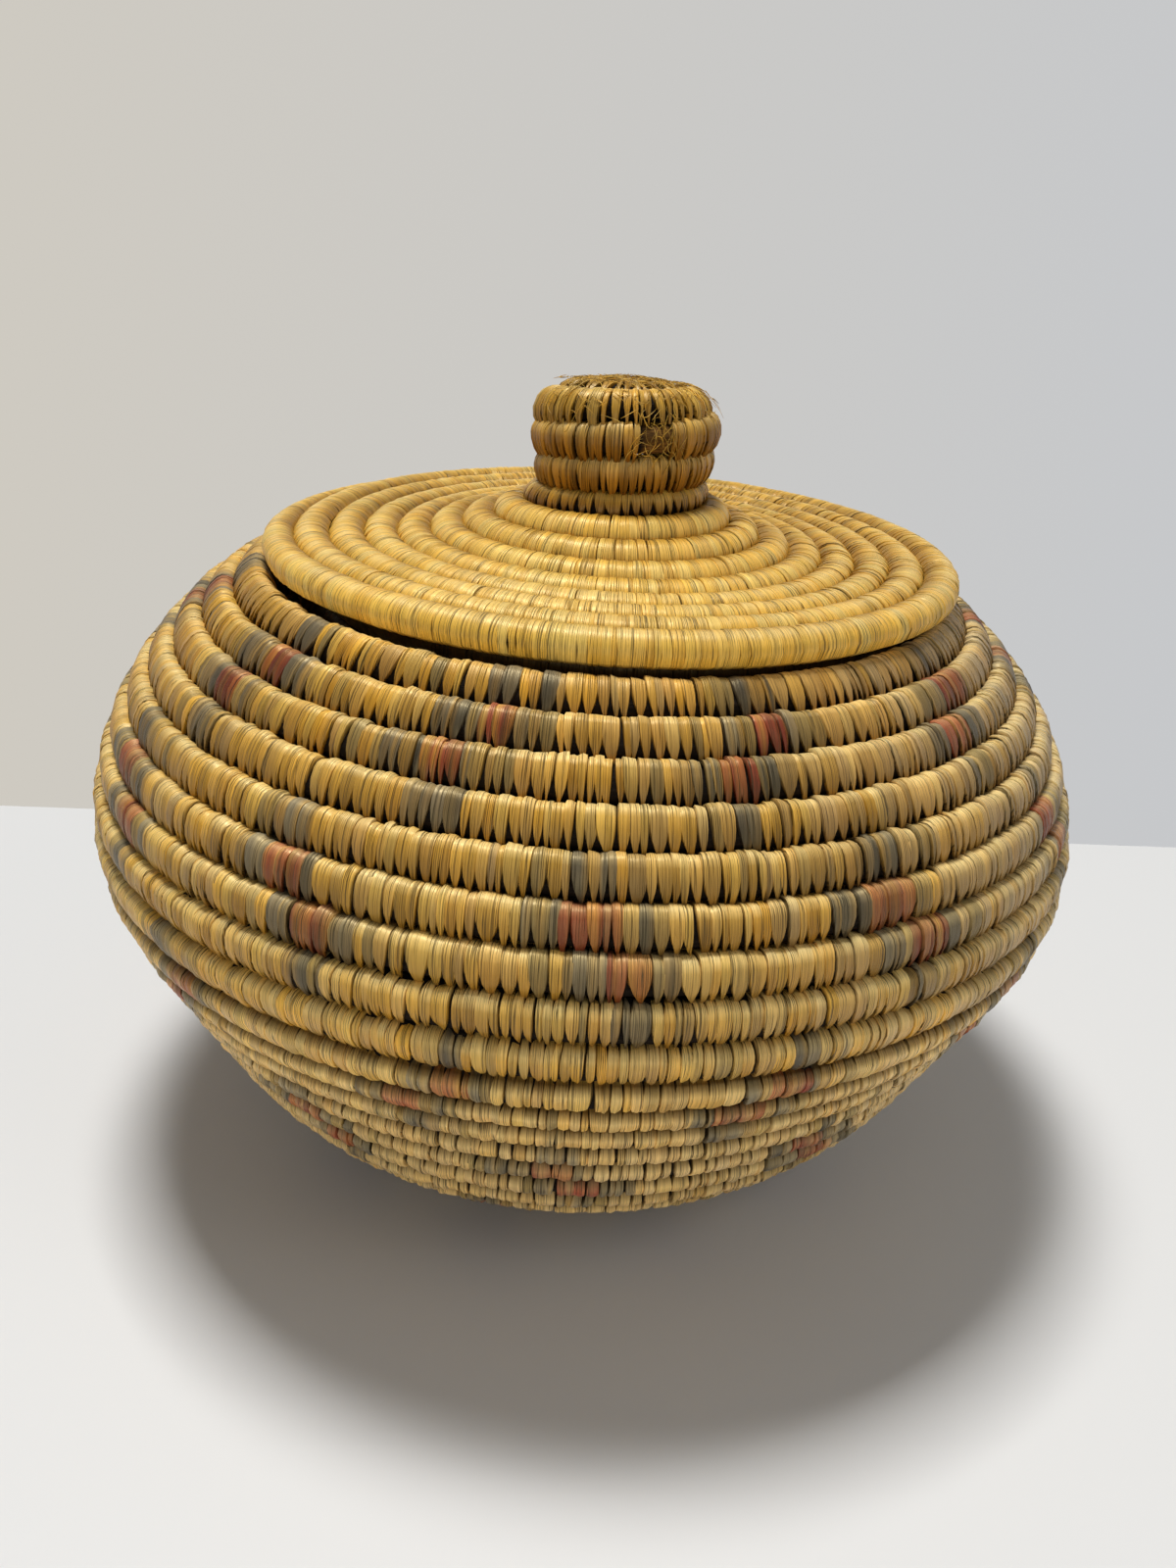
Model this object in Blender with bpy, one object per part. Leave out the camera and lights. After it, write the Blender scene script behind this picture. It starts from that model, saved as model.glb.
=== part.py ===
"""Lidded coiled basket: a round grass basket and its knobbed lid.

The wall is one long coil of wrapped grass that starts at the middle of the base and climbs to
the rim. The lid is a second coil that starts at the top of the knob and runs out to the edge,
with a short coil sewn under it that drops into the mouth. Each coil is modelled in lengths, as
the maker splices fresh grass into it, and the lengths meet end to end.

Units are metres, +Z is up, and the basket stands on z = 0 with its belly centred on the origin.
Run it with: blender --background --python part.py
"""

import math

import bmesh
import bpy
import numpy as np

# Gaps
SPLICE_GAP = 0.0003        # between two lengths of one coil, and between lid and rim
ROW_GAP = 0.0005           # between neighbouring rows of a coil

# Body wall, measured on the middle of the coil
BODY_PITCH = 0.00785       # from one row to the next, along the wall
BODY_THICKNESS = 0.0078    # through the wall
BASE_FLAT_RADIUS = 0.0298  # the base is level out to here
BASE_CUT = 0.00078         # worn flat underneath, a tenth of the coil's thickness
FOOT_RADIUS = 0.0618       # bend from the base into the lower wall
WALL_SLOPE = 61.0          # degrees above level, lower wall
WALL_LENGTH = 0.033
BELLY_RADIUS = 0.0333      # bend at the widest row
BELLY_SLOPE = 98.0         # degrees, where the belly turns into the shoulder
SHOULDER_RADIUS = 0.0534
SHOULDER_SLOPE = 126.0
NECK_RADIUS = 0.0717       # last, slow bend up to the mouth
RIM_SLOPE = 151.0

# Rim
RIM_END_AZIMUTH = 100.0    # degrees, where the last row runs out, at the back
RIM_TAPER_TURNS = 0.22     # length of the thinned end
TAPER_END = 0.4            # thickness left at a thinned end, as a share
LEAN_RADIUS = 8.4          # the handmade body bends to +X with height, on this radius

# Lid and knob, measured on the middle of the coil
LID_PITCH = 0.0072
KNOB_PITCH = 0.0065
LID_THICKNESS = 0.0068
KNOB_THICKNESS = 0.0062
KNOB_ROW_GAP = 0.0010      # a little more, because the coil bends sharply there
KNOB_TOP_RADIUS = 0.0119   # nearly flat top of the knob
KNOB_TOP_SLOPE = -5.0      # degrees
KNOB_CORNER_RADIUS = 0.0056
KNOB_WALL_SLOPE = -99.0    # the knob narrows downwards
KNOB_WALL_LENGTH = 0.0094
FLARE_RADIUS = 0.0065      # bend from the knob into the lid
FLARE_SLOPE = -32.0
SKIRT_RADIUS = 0.060       # slow bend that brings the lid level
KNOB_LEAN_RADIUS = 0.32    # the knob bends back, towards +Y, on this radius
LID_END_AZIMUTH = 130.0    # degrees, where the lid's last row runs out, at the back
LID_TAPER_TURNS = 0.22
LID_OVERLAP = 0.0040       # the lid's edge row sits this far inside the crest of the rim
LID_TILT = 0.6             # degrees, down towards +X, with the climb of the rim
LID_FRONT_LIFT = 0.5       # degrees, up towards -Y, because the lid rests on the rim's high end
KNOB_OFFSET_X = 0.0028     # the knob stands this far off the middle of the mouth
KNOB_OFFSET_Y = 0.0018

# Locating coil under the lid
FLANGE_TURNS = 2
FLANGE_THICKNESS = 0.0066
FLANGE_CLEARANCE = 0.0016  # all round, in the narrowest part of the mouth
FLANGE_STEP_TURNS = 0.12   # the coil steps down a row in this part of a turn
FLANGE_START_AZIMUTH = 80.0

# Points round one turn
TURN_POINTS = 18
KNOB_TURN_POINTS = 12

# A section's six corners: (towards a neighbour, towards a face) in shares of its half sizes
CORNERS = ((1, 0), (0.5, 1), (-0.5, 1), (-1, 0), (-0.5, -1), (0.5, -1))
OUTER_CORNERS = ((4, 3), (5, 0))   # each outer corner, and the corner it slides towards
SHARP_ANGLE = 50.0         # degrees, edges sharper than this stay sharp
PROFILE_SAMPLES = 400
SEAT_SAMPLES = 160
MOUTH_TURNS = 1.8          # the part of the rim that the lid can touch
EDGE_SEAT_TURNS = 2.2      # the part of the lid that can touch the rim

# Where a coil is spliced, in turns from its start
BODY_SPLICES = (7.0, 14.0, 19.0, 24.0)
KNOB_SPLICE_TURN = 4.6
NECK_TURNS = 5.0           # rows from the knob's splice to the flat lid
EDGE_TURNS = 1.25          # rows in the lid's edge length

START_TURN = 0.56          # a coil starts as a tight whorl, this far out

COLOURS = {
    "base_coil": (0.52, 0.36, 0.16),
    "lower_wall_coil": (0.58, 0.41, 0.19),
    "belly_coil": (0.62, 0.43, 0.18),
    "shoulder_coil": (0.64, 0.44, 0.17),
    "rim_coil": (0.68, 0.47, 0.18),
    "lid_edge_coil": (0.70, 0.49, 0.18),
    "lid_disc_coil": (0.66, 0.46, 0.17),
    "lid_flange_coil": (0.60, 0.42, 0.17),
    "knob_neck_coil": (0.68, 0.46, 0.15),
    "knob_coil": (0.58, 0.37, 0.13),
}
ROUGHNESS = 0.55


def clear_scene():
    """Remove what the scene holds."""
    for item in list(bpy.data.objects):
        bpy.data.objects.remove(item, do_unlink=True)


class Profile:
    """A wall line in the plane of radius and height, made of arcs and straights.

    Each stretch is (length, start heading, end heading), headings in radians above level, and
    the line starts on the axis.
    """

    def __init__(self, stretches):
        self.starts = []
        radius = height = distance = 0.0
        for length, first, last in stretches:
            self.starts.append((distance, radius, height, length, first, last))
            radius, height, _ = self.walk(radius, height, length, first, last, length)
            distance += length
        self.length = distance

    @staticmethod
    def walk(radius, height, length, first, last, part):
        """Radius, height and heading after a part of one stretch."""
        if abs(last - first) < 1e-9:
            return radius + part * math.cos(first), height + part * math.sin(first), first
        bend = (last - first) / length
        heading = first + bend * part
        radius += (math.sin(heading) - math.sin(first)) / bend
        height += (math.cos(first) - math.cos(heading)) / bend
        return radius, height, heading

    def at(self, distance):
        """Radius, height and heading at a distance along the line."""
        chosen = self.starts[0]
        for stretch in self.starts:
            if distance >= stretch[0]:
                chosen = stretch
        begin, radius, height, length, first, last = chosen
        return self.walk(radius, height, length, first, last, distance - begin)


def bend_stretch(radius, first_degrees, last_degrees):
    """One arc of a profile, from its radius and its two headings."""
    first = math.radians(first_degrees)
    last = math.radians(last_degrees)
    return (radius * abs(last - first), first, last)


def body_profile():
    """Base, foot, lower wall, belly, shoulder and neck."""
    slope = math.radians(WALL_SLOPE)
    return Profile([
        (BASE_FLAT_RADIUS, 0.0, 0.0),
        bend_stretch(FOOT_RADIUS, 0.0, WALL_SLOPE),
        (WALL_LENGTH, slope, slope),
        bend_stretch(BELLY_RADIUS, WALL_SLOPE, BELLY_SLOPE),
        bend_stretch(SHOULDER_RADIUS, BELLY_SLOPE, SHOULDER_SLOPE),
        bend_stretch(NECK_RADIUS, SHOULDER_SLOPE, RIM_SLOPE),
    ])


def lid_profile(edge_radius):
    """Knob top, corner, wall, flare, skirt and the level lid out to its edge row."""
    top = math.radians(KNOB_TOP_SLOPE)
    wall = math.radians(KNOB_WALL_SLOPE)
    stretches = [
        (KNOB_TOP_RADIUS, top, top),
        bend_stretch(KNOB_CORNER_RADIUS, KNOB_TOP_SLOPE, KNOB_WALL_SLOPE),
        (KNOB_WALL_LENGTH, wall, wall),
        bend_stretch(FLARE_RADIUS, KNOB_WALL_SLOPE, FLARE_SLOPE),
        bend_stretch(SKIRT_RADIUS, FLARE_SLOPE, 0.0),
    ]
    skirt_end = Profile(stretches)
    skirt_radius = skirt_end.at(skirt_end.length)[0]
    stretches.append((edge_radius - skirt_radius, 0.0, 0.0))
    return Profile(stretches)


def taper(turn, end_turn, taper_turns):
    """Share of the full thickness that is left near a thinned end."""
    left = (end_turn - turn) / taper_turns
    if left >= 1.0:
        return 1.0
    return TAPER_END + (1.0 - TAPER_END) * max(left, 0.0)


def section(radius, height, heading, azimuth, half_width, half_thickness):
    """Six points round the coil: two towards its neighbours and two flats, inside and outside."""
    along = (math.cos(heading), math.sin(heading))
    across = (-math.sin(heading), math.cos(heading))
    points = []
    for side, face in CORNERS:
        r = radius + side * half_width * along[0] + face * half_thickness * across[0]
        z = height + side * half_width * along[1] + face * half_thickness * across[1]
        points.append((r * math.cos(azimuth), r * math.sin(azimuth), z))
    return np.array(points)


class BodyCoil:
    """The wall's coil. It climbs clockwise, seen from above."""

    def __init__(self):
        self.profile = body_profile()
        self.end_turn = self.profile.length / BODY_PITCH
        self.half_width = (BODY_PITCH - ROW_GAP) / 2
        self.end_azimuth = math.radians(RIM_END_AZIMUTH)
        self.belly_height = belly_height(self.profile)

    def azimuth(self, turn):
        return self.end_azimuth + 2 * math.pi * (self.end_turn - turn)

    def centre(self, turn):
        """Radius, height above the floor and heading of the coil's middle, and its share."""
        share = taper(turn, self.end_turn, RIM_TAPER_TURNS)
        distance = turn * BODY_PITCH - (1.0 - share) * self.half_width
        radius, height, heading = self.profile.at(distance)
        return radius, height + BODY_THICKNESS / 2 - BASE_CUT, heading, share

    def radius(self, turn):
        return self.centre(turn)[0]

    def ring(self, turn):
        radius, height, heading, share = self.centre(turn)
        points = section(radius, height, heading, self.azimuth(turn),
                         self.half_width * share, BODY_THICKNESS / 2 * share)
        return self.lean(wear_flat(points))

    def lean(self, points):
        """Bend the upright body towards +X on a long arc that starts level at the floor."""
        bent = np.array(points, dtype=float)
        lift = np.maximum(bent[:, 2], 0.0)
        angle = lift / LEAN_RADIUS
        x = bent[:, 0].copy()
        shift = (lift ** 2 - self.belly_height ** 2) / (2 * LEAN_RADIUS)
        bent[:, 0] = shift + x * np.cos(angle)
        bent[:, 2] -= x * np.sin(angle)
        return bent


def wear_flat(points):
    """Bring a section's two outer corners up their slanted sides to the floor, z = 0."""
    worn = points.copy()
    for corner, neighbour in OUTER_CORNERS:
        below = -points[corner, 2]
        if below > 0.0:
            rise = points[neighbour, 2] - points[corner, 2]
            worn[corner] += (points[neighbour] - points[corner]) * below / rise
    return worn


def belly_height(profile):
    """Height of the widest row above the floor."""
    distances = np.linspace(0.0, profile.length, PROFILE_SAMPLES)
    radii = [profile.at(distance)[0] for distance in distances]
    widest = profile.at(distances[int(np.argmax(radii))])
    return widest[1] + BODY_THICKNESS / 2 - BASE_CUT


def rim_radius(body):
    """Middle radius of the rim row, half a turn before its end."""
    return body.radius(body.end_turn - 0.5)


class LidCoil:
    """The lid's coil, from the knob outwards. It runs clockwise, seen from above."""

    def __init__(self, edge_radius):
        self.profile = lid_profile(edge_radius + LID_PITCH / 2)
        self.knob_length = (KNOB_SPLICE_TURN + 0.5) * KNOB_PITCH
        self.knob_turns = KNOB_SPLICE_TURN + 0.5
        self.end_turn = self.knob_turns + (self.profile.length - self.knob_length) / LID_PITCH
        self.end_azimuth = math.radians(LID_END_AZIMUTH)
        self.level = self.profile.at(self.profile.length)[1]

    def azimuth(self, turn):
        return self.end_azimuth + 2 * math.pi * (self.end_turn - turn)

    def share_of_lid(self, turn):
        """0 on the knob, 1 on the lid, with one turn to change over."""
        return min(max(turn - self.knob_turns, 0.0), 1.0)

    def distance(self, turn):
        if turn <= self.knob_turns:
            return turn * KNOB_PITCH
        return self.knob_length + (turn - self.knob_turns) * LID_PITCH

    def centre(self, turn):
        """Radius, height above the level lid and heading of the coil's middle, and half sizes."""
        blend = self.share_of_lid(turn)
        knob_half = (KNOB_PITCH - KNOB_ROW_GAP) / 2
        half_width = knob_half + ((LID_PITCH - ROW_GAP) / 2 - knob_half) * blend
        half_thickness = (KNOB_THICKNESS + (LID_THICKNESS - KNOB_THICKNESS) * blend) / 2
        share = taper(turn, self.end_turn, LID_TAPER_TURNS)
        distance = self.distance(turn) - (1.0 - share) * half_width
        radius, height, heading = self.profile.at(distance)
        return radius, height - self.level, heading, half_width * share, half_thickness * share

    def radius(self, turn):
        return self.centre(turn)[0]

    def ring(self, turn):
        radius, height, heading, half_width, half_thickness = self.centre(turn)
        points = section(radius, height, heading, self.azimuth(turn), half_width, half_thickness)
        return self.lean(points)

    @staticmethod
    def lean(points):
        """Bend what stands above the lid backwards."""
        bent = points.copy()
        above = np.maximum(points[:, 2] - LID_THICKNESS / 2, 0.0)
        angle = above / KNOB_LEAN_RADIUS
        bent[:, 1] = points[:, 1] * np.cos(angle) + above ** 2 / (2 * KNOB_LEAN_RADIUS)
        bent[:, 2] -= points[:, 1] * np.sin(angle)
        return bent


class FlangeCoil:
    """The locating coil under the lid: level rows, with a short step down from row to row."""

    def __init__(self, radius):
        self.middle_radius = radius
        self.end_turn = FLANGE_TURNS - FLANGE_STEP_TURNS
        self.half_width = (LID_PITCH - ROW_GAP) / 2
        self.start_azimuth = math.radians(FLANGE_START_AZIMUTH)

    def azimuth(self, turn):
        return self.start_azimuth - 2 * math.pi * turn

    def radius(self, turn):
        return self.middle_radius

    def ring(self, turn):
        row = math.floor(turn)
        step = max(turn - row - (1 - FLANGE_STEP_TURNS), 0.0) / FLANGE_STEP_TURNS
        easing = step * step * (3 - 2 * step)
        top_gap = LID_THICKNESS / 2 + ROW_GAP + self.half_width
        height = -top_gap - (row + easing) * LID_PITCH
        return section(self.middle_radius, height, -math.pi / 2, self.azimuth(turn),
                       self.half_width, FLANGE_THICKNESS / 2)


def stations(first, last, per_turn):
    """Turn values on a coil's even grid, between two ends."""
    low = math.ceil(first * per_turn - 1e-6)
    high = math.floor(last * per_turn + 1e-6)
    return [k / per_turn for k in range(low, high + 1)]


def straight_end(coil, turn, per_turn, side, thickness):
    """The grid station that leaves one coil diameter of straight run before an end."""
    run = thickness / (2 * math.pi * coil.radius(turn))
    if side < 0:
        return math.floor((turn - run) * per_turn + 1e-6) / per_turn
    return math.ceil((turn + run) * per_turn - 1e-6) / per_turn


def roomy_splice(coil, turn, thickness):
    """The first splice from this turn on whose straight run fits between two stations."""
    while thickness / (2 * math.pi * coil.radius(turn)) > 0.5 / TURN_POINTS:
        turn += 1 / TURN_POINTS
    return turn


def splice_rings(coil, before, after):
    """The two end faces at a splice, square across the straight run between two stations."""
    first = coil.ring(before)
    last = coil.ring(after)
    length = np.linalg.norm(last.mean(axis=0) - first.mean(axis=0))
    half_gap = SPLICE_GAP / length / 2
    return first + (last - first) * (0.5 - half_gap), first + (last - first) * (0.5 + half_gap)


def coil_lengths(coil, splices, grids, thickness):
    """Rings of each length of a coil, which is cut at the splices."""
    lengths = []
    start_ring = None
    first = START_TURN if not isinstance(coil, FlangeCoil) else 0.0
    for index, grid in enumerate(grids):
        if index < len(splices):
            before = straight_end(coil, splices[index], grid, -1, thickness)
            after = straight_end(coil, splices[index], grids[index + 1], 1, thickness)
            end_ring, next_ring = splice_rings(coil, before, after)
        else:
            before, after, end_ring, next_ring = coil.end_turn, None, None, None
        turns = stations(first, before, grid)
        rings = [coil.ring(turn) for turn in turns]
        if start_ring is not None:
            rings.insert(0, start_ring)
        elif first < turns[0] - 1e-6:
            rings.insert(0, coil.ring(first))
        if end_ring is not None:
            rings.append(end_ring)
        elif before > turns[-1] + 1e-6:
            rings.append(coil.ring(before))
        lengths.append(np.array(rings))
        start_ring, first = next_ring, after
    return lengths


def least_gap(rings, per_turn):
    """Least distance from a coil's points to points of its other turns."""
    near = max(per_turn // 2, 1)
    middles = (rings[1:] + rings[:-1]) / 2
    points = np.concatenate([rings, middles])
    place = np.concatenate([np.arange(len(rings)), np.arange(len(middles)) + 0.5])
    least = math.inf
    for index, ring in enumerate(points):
        others = points[np.abs(place - place[index]) > near].reshape(-1, 3)
        if len(others):
            apart = np.linalg.norm(others[:, None] - ring[None], axis=2)
            least = min(least, float(apart.min()))
    return least


def coil_object(name, rings, transform=None):
    """One closed tube through its rings, with flat ends and its own material."""
    count = rings.shape[1]
    points = rings.reshape(-1, 3)
    if transform is not None:
        points = transform(points)
    faces = []
    for ring in range(len(rings) - 1):
        for side in range(count):
            low = ring * count + side
            high = ring * count + (side + 1) % count
            faces.append((low, high, high + count, low + count))
    faces.append(tuple(range(count - 1, -1, -1)))
    faces.append(tuple(range(len(points) - count, len(points))))
    mesh = bpy.data.meshes.new(name)
    mesh.from_pydata([tuple(point) for point in points], [], faces)
    work = bmesh.new()
    work.from_mesh(mesh)
    bmesh.ops.recalc_face_normals(work, faces=work.faces)
    work.to_mesh(mesh)
    work.free()
    mesh.shade_smooth()
    mesh.set_sharp_from_angle(angle=math.radians(SHARP_ANGLE))
    piece = bpy.data.objects.new(name, mesh)
    bpy.context.scene.collection.objects.link(piece)
    mesh.materials.append(coil_material(name))
    return piece


def coil_material(name):
    """Wrapped grass in the piece's own shade."""
    material = bpy.data.materials.new(name)
    material.use_nodes = True
    shader = material.node_tree.nodes["Principled BSDF"]
    shader.inputs["Base Color"].default_value = (*COLOURS[name], 1.0)
    shader.inputs["Roughness"].default_value = ROUGHNESS
    shader.inputs["Metallic"].default_value = 0.0
    return material


def mouth_centre(body):
    """Middle of the mouth, between the end of the rim's last full row and the point opposite."""
    last = body.end_turn - RIM_TAPER_TURNS
    return (body.ring(last).mean(axis=0) + body.ring(last - 0.5).mean(axis=0)) / 2


def mouth_rings(body):
    """Sections of the two rows that the lid can touch."""
    turns = np.linspace(body.end_turn - MOUTH_TURNS, body.end_turn, SEAT_SAMPLES)
    return np.array([body.ring(turn) for turn in turns])


def knob_axis(body):
    """Where the lid's own axis stands in plan."""
    return mouth_centre(body) + np.array([KNOB_OFFSET_X, KNOB_OFFSET_Y, 0.0])


def place_lid(body, lid):
    """Function that carries the lid's points onto the rim."""
    axis = knob_axis(body)
    right = math.radians(LID_TILT) + axis[2] / LEAN_RADIUS
    back = math.radians(LID_FRONT_LIFT)
    turn_right = np.array([[math.cos(right), 0.0, math.sin(right)],
                           [0.0, 1.0, 0.0],
                           [-math.sin(right), 0.0, math.cos(right)]])
    turn_back = np.array([[1.0, 0.0, 0.0],
                          [0.0, math.cos(back), math.sin(back)],
                          [0.0, -math.sin(back), math.cos(back)]])
    turned = turn_right @ turn_back

    def carry(points, height=0.0):
        return points @ turned.T + np.array([axis[0], axis[1], height])

    height = seat_height(body, lid, carry)
    return lambda points: carry(points, height)


def seat_height(body, lid, carry):
    """Height at which the lid's outer rows just clear the rim, worked out point by point."""
    turns = np.linspace(lid.end_turn - EDGE_SEAT_TURNS, lid.end_turn, SEAT_SAMPLES)
    edge = np.array([carry(lid.ring(turn)).mean(axis=0) for turn in turns])
    rim = mouth_rings(body).mean(axis=1)
    reach = (BODY_THICKNESS + LID_THICKNESS) / 2 + SPLICE_GAP
    flat = np.linalg.norm(edge[:, None, :2] - rim[None, :, :2], axis=2)
    rise = np.sqrt(np.maximum(reach ** 2 - flat ** 2, 0.0))
    needed = rim[None, :, 2] + rise - edge[:, None, 2]
    return float(np.where(flat < reach, needed, -math.inf).max())


def flange_radius(body):
    """Middle radius of the locating coil, clear of the narrowest part of the mouth."""
    apart = mouth_rings(body)[:, :, :2] - knob_axis(body)[:2]
    narrowest = float(np.linalg.norm(apart, axis=2).min())
    chord = math.cos(math.pi / TURN_POINTS)
    return narrowest * chord - FLANGE_CLEARANCE - FLANGE_THICKNESS / 2


def make_body(body):
    """The basket's own lengths of coil, from the base to the rim."""
    names = ("base_coil", "lower_wall_coil", "belly_coil", "shoulder_coil", "rim_coil")
    grids = [TURN_POINTS] * len(names)
    lengths = coil_lengths(body, splice_turns(body), grids, BODY_THICKNESS)
    for name, rings in zip(names, lengths):
        coil_object(name, rings)
        print("least gap", name, round(least_gap(rings, TURN_POINTS) * 1000, 3), "mm")


def splice_turns(body):
    """The body's splices, each in the middle of a straight run, with the rim's counted back."""
    spread = body.end_turn / (BODY_SPLICES[-1] + 2.0)
    return [(math.floor(turn * spread * TURN_POINTS) + 0.5) / TURN_POINTS
            for turn in BODY_SPLICES]


def make_lid(body, lid):
    """Knob, neck, disc and edge lengths, and the locating coil, carried onto the rim."""
    carry = place_lid(body, lid)
    names = ("knob_coil", "knob_neck_coil", "lid_disc_coil", "lid_edge_coil")
    grids = [KNOB_TURN_POINTS, TURN_POINTS, TURN_POINTS, TURN_POINTS]
    turns = (KNOB_SPLICE_TURN, KNOB_SPLICE_TURN + NECK_TURNS, lid.end_turn - EDGE_TURNS)
    splices = [(math.floor(turn * TURN_POINTS) + 0.5) / TURN_POINTS for turn in turns]
    splices[1] = roomy_splice(lid, splices[1], LID_THICKNESS)
    lengths = coil_lengths(lid, splices, grids, LID_THICKNESS)
    for name, rings, grid in zip(names, lengths, grids):
        coil_object(name, rings, carry)
        print("least gap", name, round(least_gap(rings, grid) * 1000, 3), "mm")
    flange = FlangeCoil(flange_radius(body))
    rings = coil_lengths(flange, [], [TURN_POINTS], FLANGE_THICKNESS)[0]
    coil_object("lid_flange_coil", rings, carry)
    print("least gap lid_flange_coil", round(least_gap(rings, TURN_POINTS) * 1000, 3), "mm")


def main():
    """Model the basket and its lid."""
    clear_scene()
    body = BodyCoil()
    lid = LidCoil(rim_radius(body) - LID_OVERLAP)
    make_body(body)
    make_lid(body, lid)


main()
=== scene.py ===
"""Visual model of a coiled grass basket and its lid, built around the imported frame.

The basket is one coil of dry grass, wrapped and sewn with flat grass strips, and the lid is
another. Each piece here is a length of coil: a dark bundle of grass inside, and hundreds of
separate stitches round it. A stitch starts at a point in the row before, goes over its own row
and ends at a point on the inside. Blocks of dyed stitches make the stepped pattern.
"""

import math
from dataclasses import dataclass

import bpy
import numpy as np
from mathutils import Matrix, Vector


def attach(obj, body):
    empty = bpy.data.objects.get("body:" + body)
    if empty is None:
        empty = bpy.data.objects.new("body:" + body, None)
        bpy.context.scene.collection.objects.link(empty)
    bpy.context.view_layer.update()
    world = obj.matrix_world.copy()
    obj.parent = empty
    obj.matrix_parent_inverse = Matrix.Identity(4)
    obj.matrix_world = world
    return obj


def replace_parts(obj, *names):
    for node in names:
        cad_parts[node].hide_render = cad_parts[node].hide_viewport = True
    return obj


bl_info = {
    "name": "Coiled basket",
    "version": (1, 0, 0),
    "blender": (4, 5, 0),
    "location": "3D View > Sidebar > Basket",
    "description": "Builds a lidded coiled grass basket stitch by stitch",
    "category": "Add Mesh",
}

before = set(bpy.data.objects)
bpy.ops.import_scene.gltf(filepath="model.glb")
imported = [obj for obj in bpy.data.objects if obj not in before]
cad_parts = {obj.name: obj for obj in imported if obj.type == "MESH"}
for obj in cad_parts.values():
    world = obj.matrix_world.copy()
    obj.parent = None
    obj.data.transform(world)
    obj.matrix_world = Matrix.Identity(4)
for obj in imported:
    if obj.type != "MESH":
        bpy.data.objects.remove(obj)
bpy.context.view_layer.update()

MM = 0.001

# The body's coil, measured along its middle. Slopes are degrees above level.
BODY_PITCH = 7.85 * MM
BODY_THICKNESS = 7.8 * MM
ROW_GAP = 0.5 * MM
BASE_CUT = 0.78 * MM
BASE_FLAT_RADIUS = 29.8 * MM
FOOT_RADIUS = 61.8 * MM
WALL_SLOPE = 61.0
WALL_LENGTH = 33.0 * MM
BELLY_RADIUS = 33.3 * MM
BELLY_SLOPE = 98.0
SHOULDER_RADIUS = 53.4 * MM
SHOULDER_SLOPE = 126.0
NECK_RADIUS = 71.7 * MM
RIM_SLOPE = 151.0
RIM_END_AZIMUTH = 100.0
BELLY_HEIGHT = 80.12 * MM
BODY_LEAN_RADIUS = 8400.0 * MM

# The lid's coil, from the middle of the knob's top outwards
LID_PITCH = 7.2 * MM
KNOB_PITCH = 6.5 * MM
KNOB_ROW_GAP = 1.0 * MM
LID_THICKNESS = 6.8 * MM
KNOB_THICKNESS = 6.2 * MM
KNOB_TURNS = 5.1
KNOB_TOP_RADIUS = 11.9 * MM
KNOB_TOP_SLOPE = -5.0
KNOB_CORNER_RADIUS = 5.6 * MM
KNOB_WALL_SLOPE = -99.0
KNOB_WALL_LENGTH = 9.4 * MM
FLARE_RADIUS = 6.5 * MM
FLARE_SLOPE = -32.0
SKIRT_RADIUS = 60.0 * MM
LID_RADIUS = 73.756 * MM
LID_END_AZIMUTH = 130.0
KNOB_LEAN_RADIUS = 320.0 * MM
LID_PLACE = (5.047 * MM, 1.777 * MM, 135.029 * MM)
LID_TILT_RIGHT = 1.468
LID_TILT_BACK = 0.5

# The locating coil under the lid
FLANGE_RADIUS = 61.432 * MM
FLANGE_THICKNESS = 6.6 * MM
FLANGE_START_AZIMUTH = 80.0
FLANGE_STEP_TURNS = 0.12
FLANGE_TURNS = 1.88

# How the coils thin out at their ends, how the base is worn flat, and the share of a stitch's
# place along the wall that follows the wall's bend
END_TAPER_TURNS = 0.22
END_TAPER_SHARE = 0.4
START_TURN = 0.56
CENTRE_RADIUS = 0.15 * MM
WEAR_DEPTH = 0.4 * MM
BEND_SHARE = 0.5

# Where the coils are cut into pieces, in turns from their start
BODY_CUTS = (START_TURN, 7.139, 14.25, 19.306, 24.417, 26.4307)
LID_CUTS = (START_TURN, 4.583, 9.583, 12.472, 13.712)

# Turns of the knob where the stitches have worn away, where it is fuzzy, and where the stitches
# are brown, give or take a spread
KNOB_BARE = ((0.95, 1.09), (1.99, 2.05), (3.24, 3.30))
KNOB_FUZZY = (0.45, 2.5)
KNOB_BROWN = (2.75, 5.8)
BROWN_SPREAD = 0.12

# Loose fibres: how many, their mean length round and along the coil, and how far from the
# middle of a row they lie, in half rows
TOP_FIBRES = 500
TOP_REACH = (1.8 * MM, 1.4 * MM)
PATCH_FIBRES = 60
PATCH_REACH = (1.4 * MM, 2.4 * MM)
FIBRE_THICKNESS = 0.15 * MM
FIBRE_SPREAD = 1.3
FIBRE_STEPS = 7
FIBRE_SIDES = 4

# The bundle inside: slices in a turn, corners of its section and its size in half rows. The
# wide one lets no light through the wall.
SLICES_PER_TURN = 96
LEAST_SLICES = 24
BUNDLE_CORNERS = 12
BUNDLE_OUT = 0.82
BUNDLE_WIDE = 1.09
BUNDLE_NARROW = 0.94

# Spread of the stitches' widths, with the narrowest and the widest over the mean
ROW_SAMPLES = 2000
LEAST_RADIUS = 2.0 * MM
WIDTH_SPREAD = 0.30
WIDTH_LIMITS = (0.6, 1.9)

# Stitch path round its row, in degrees from the crest, inside negative
INNER_END = -142.0
OUTER_END = 152.0
INNER_RINGS = 5
OUTER_RINGS = 9

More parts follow.
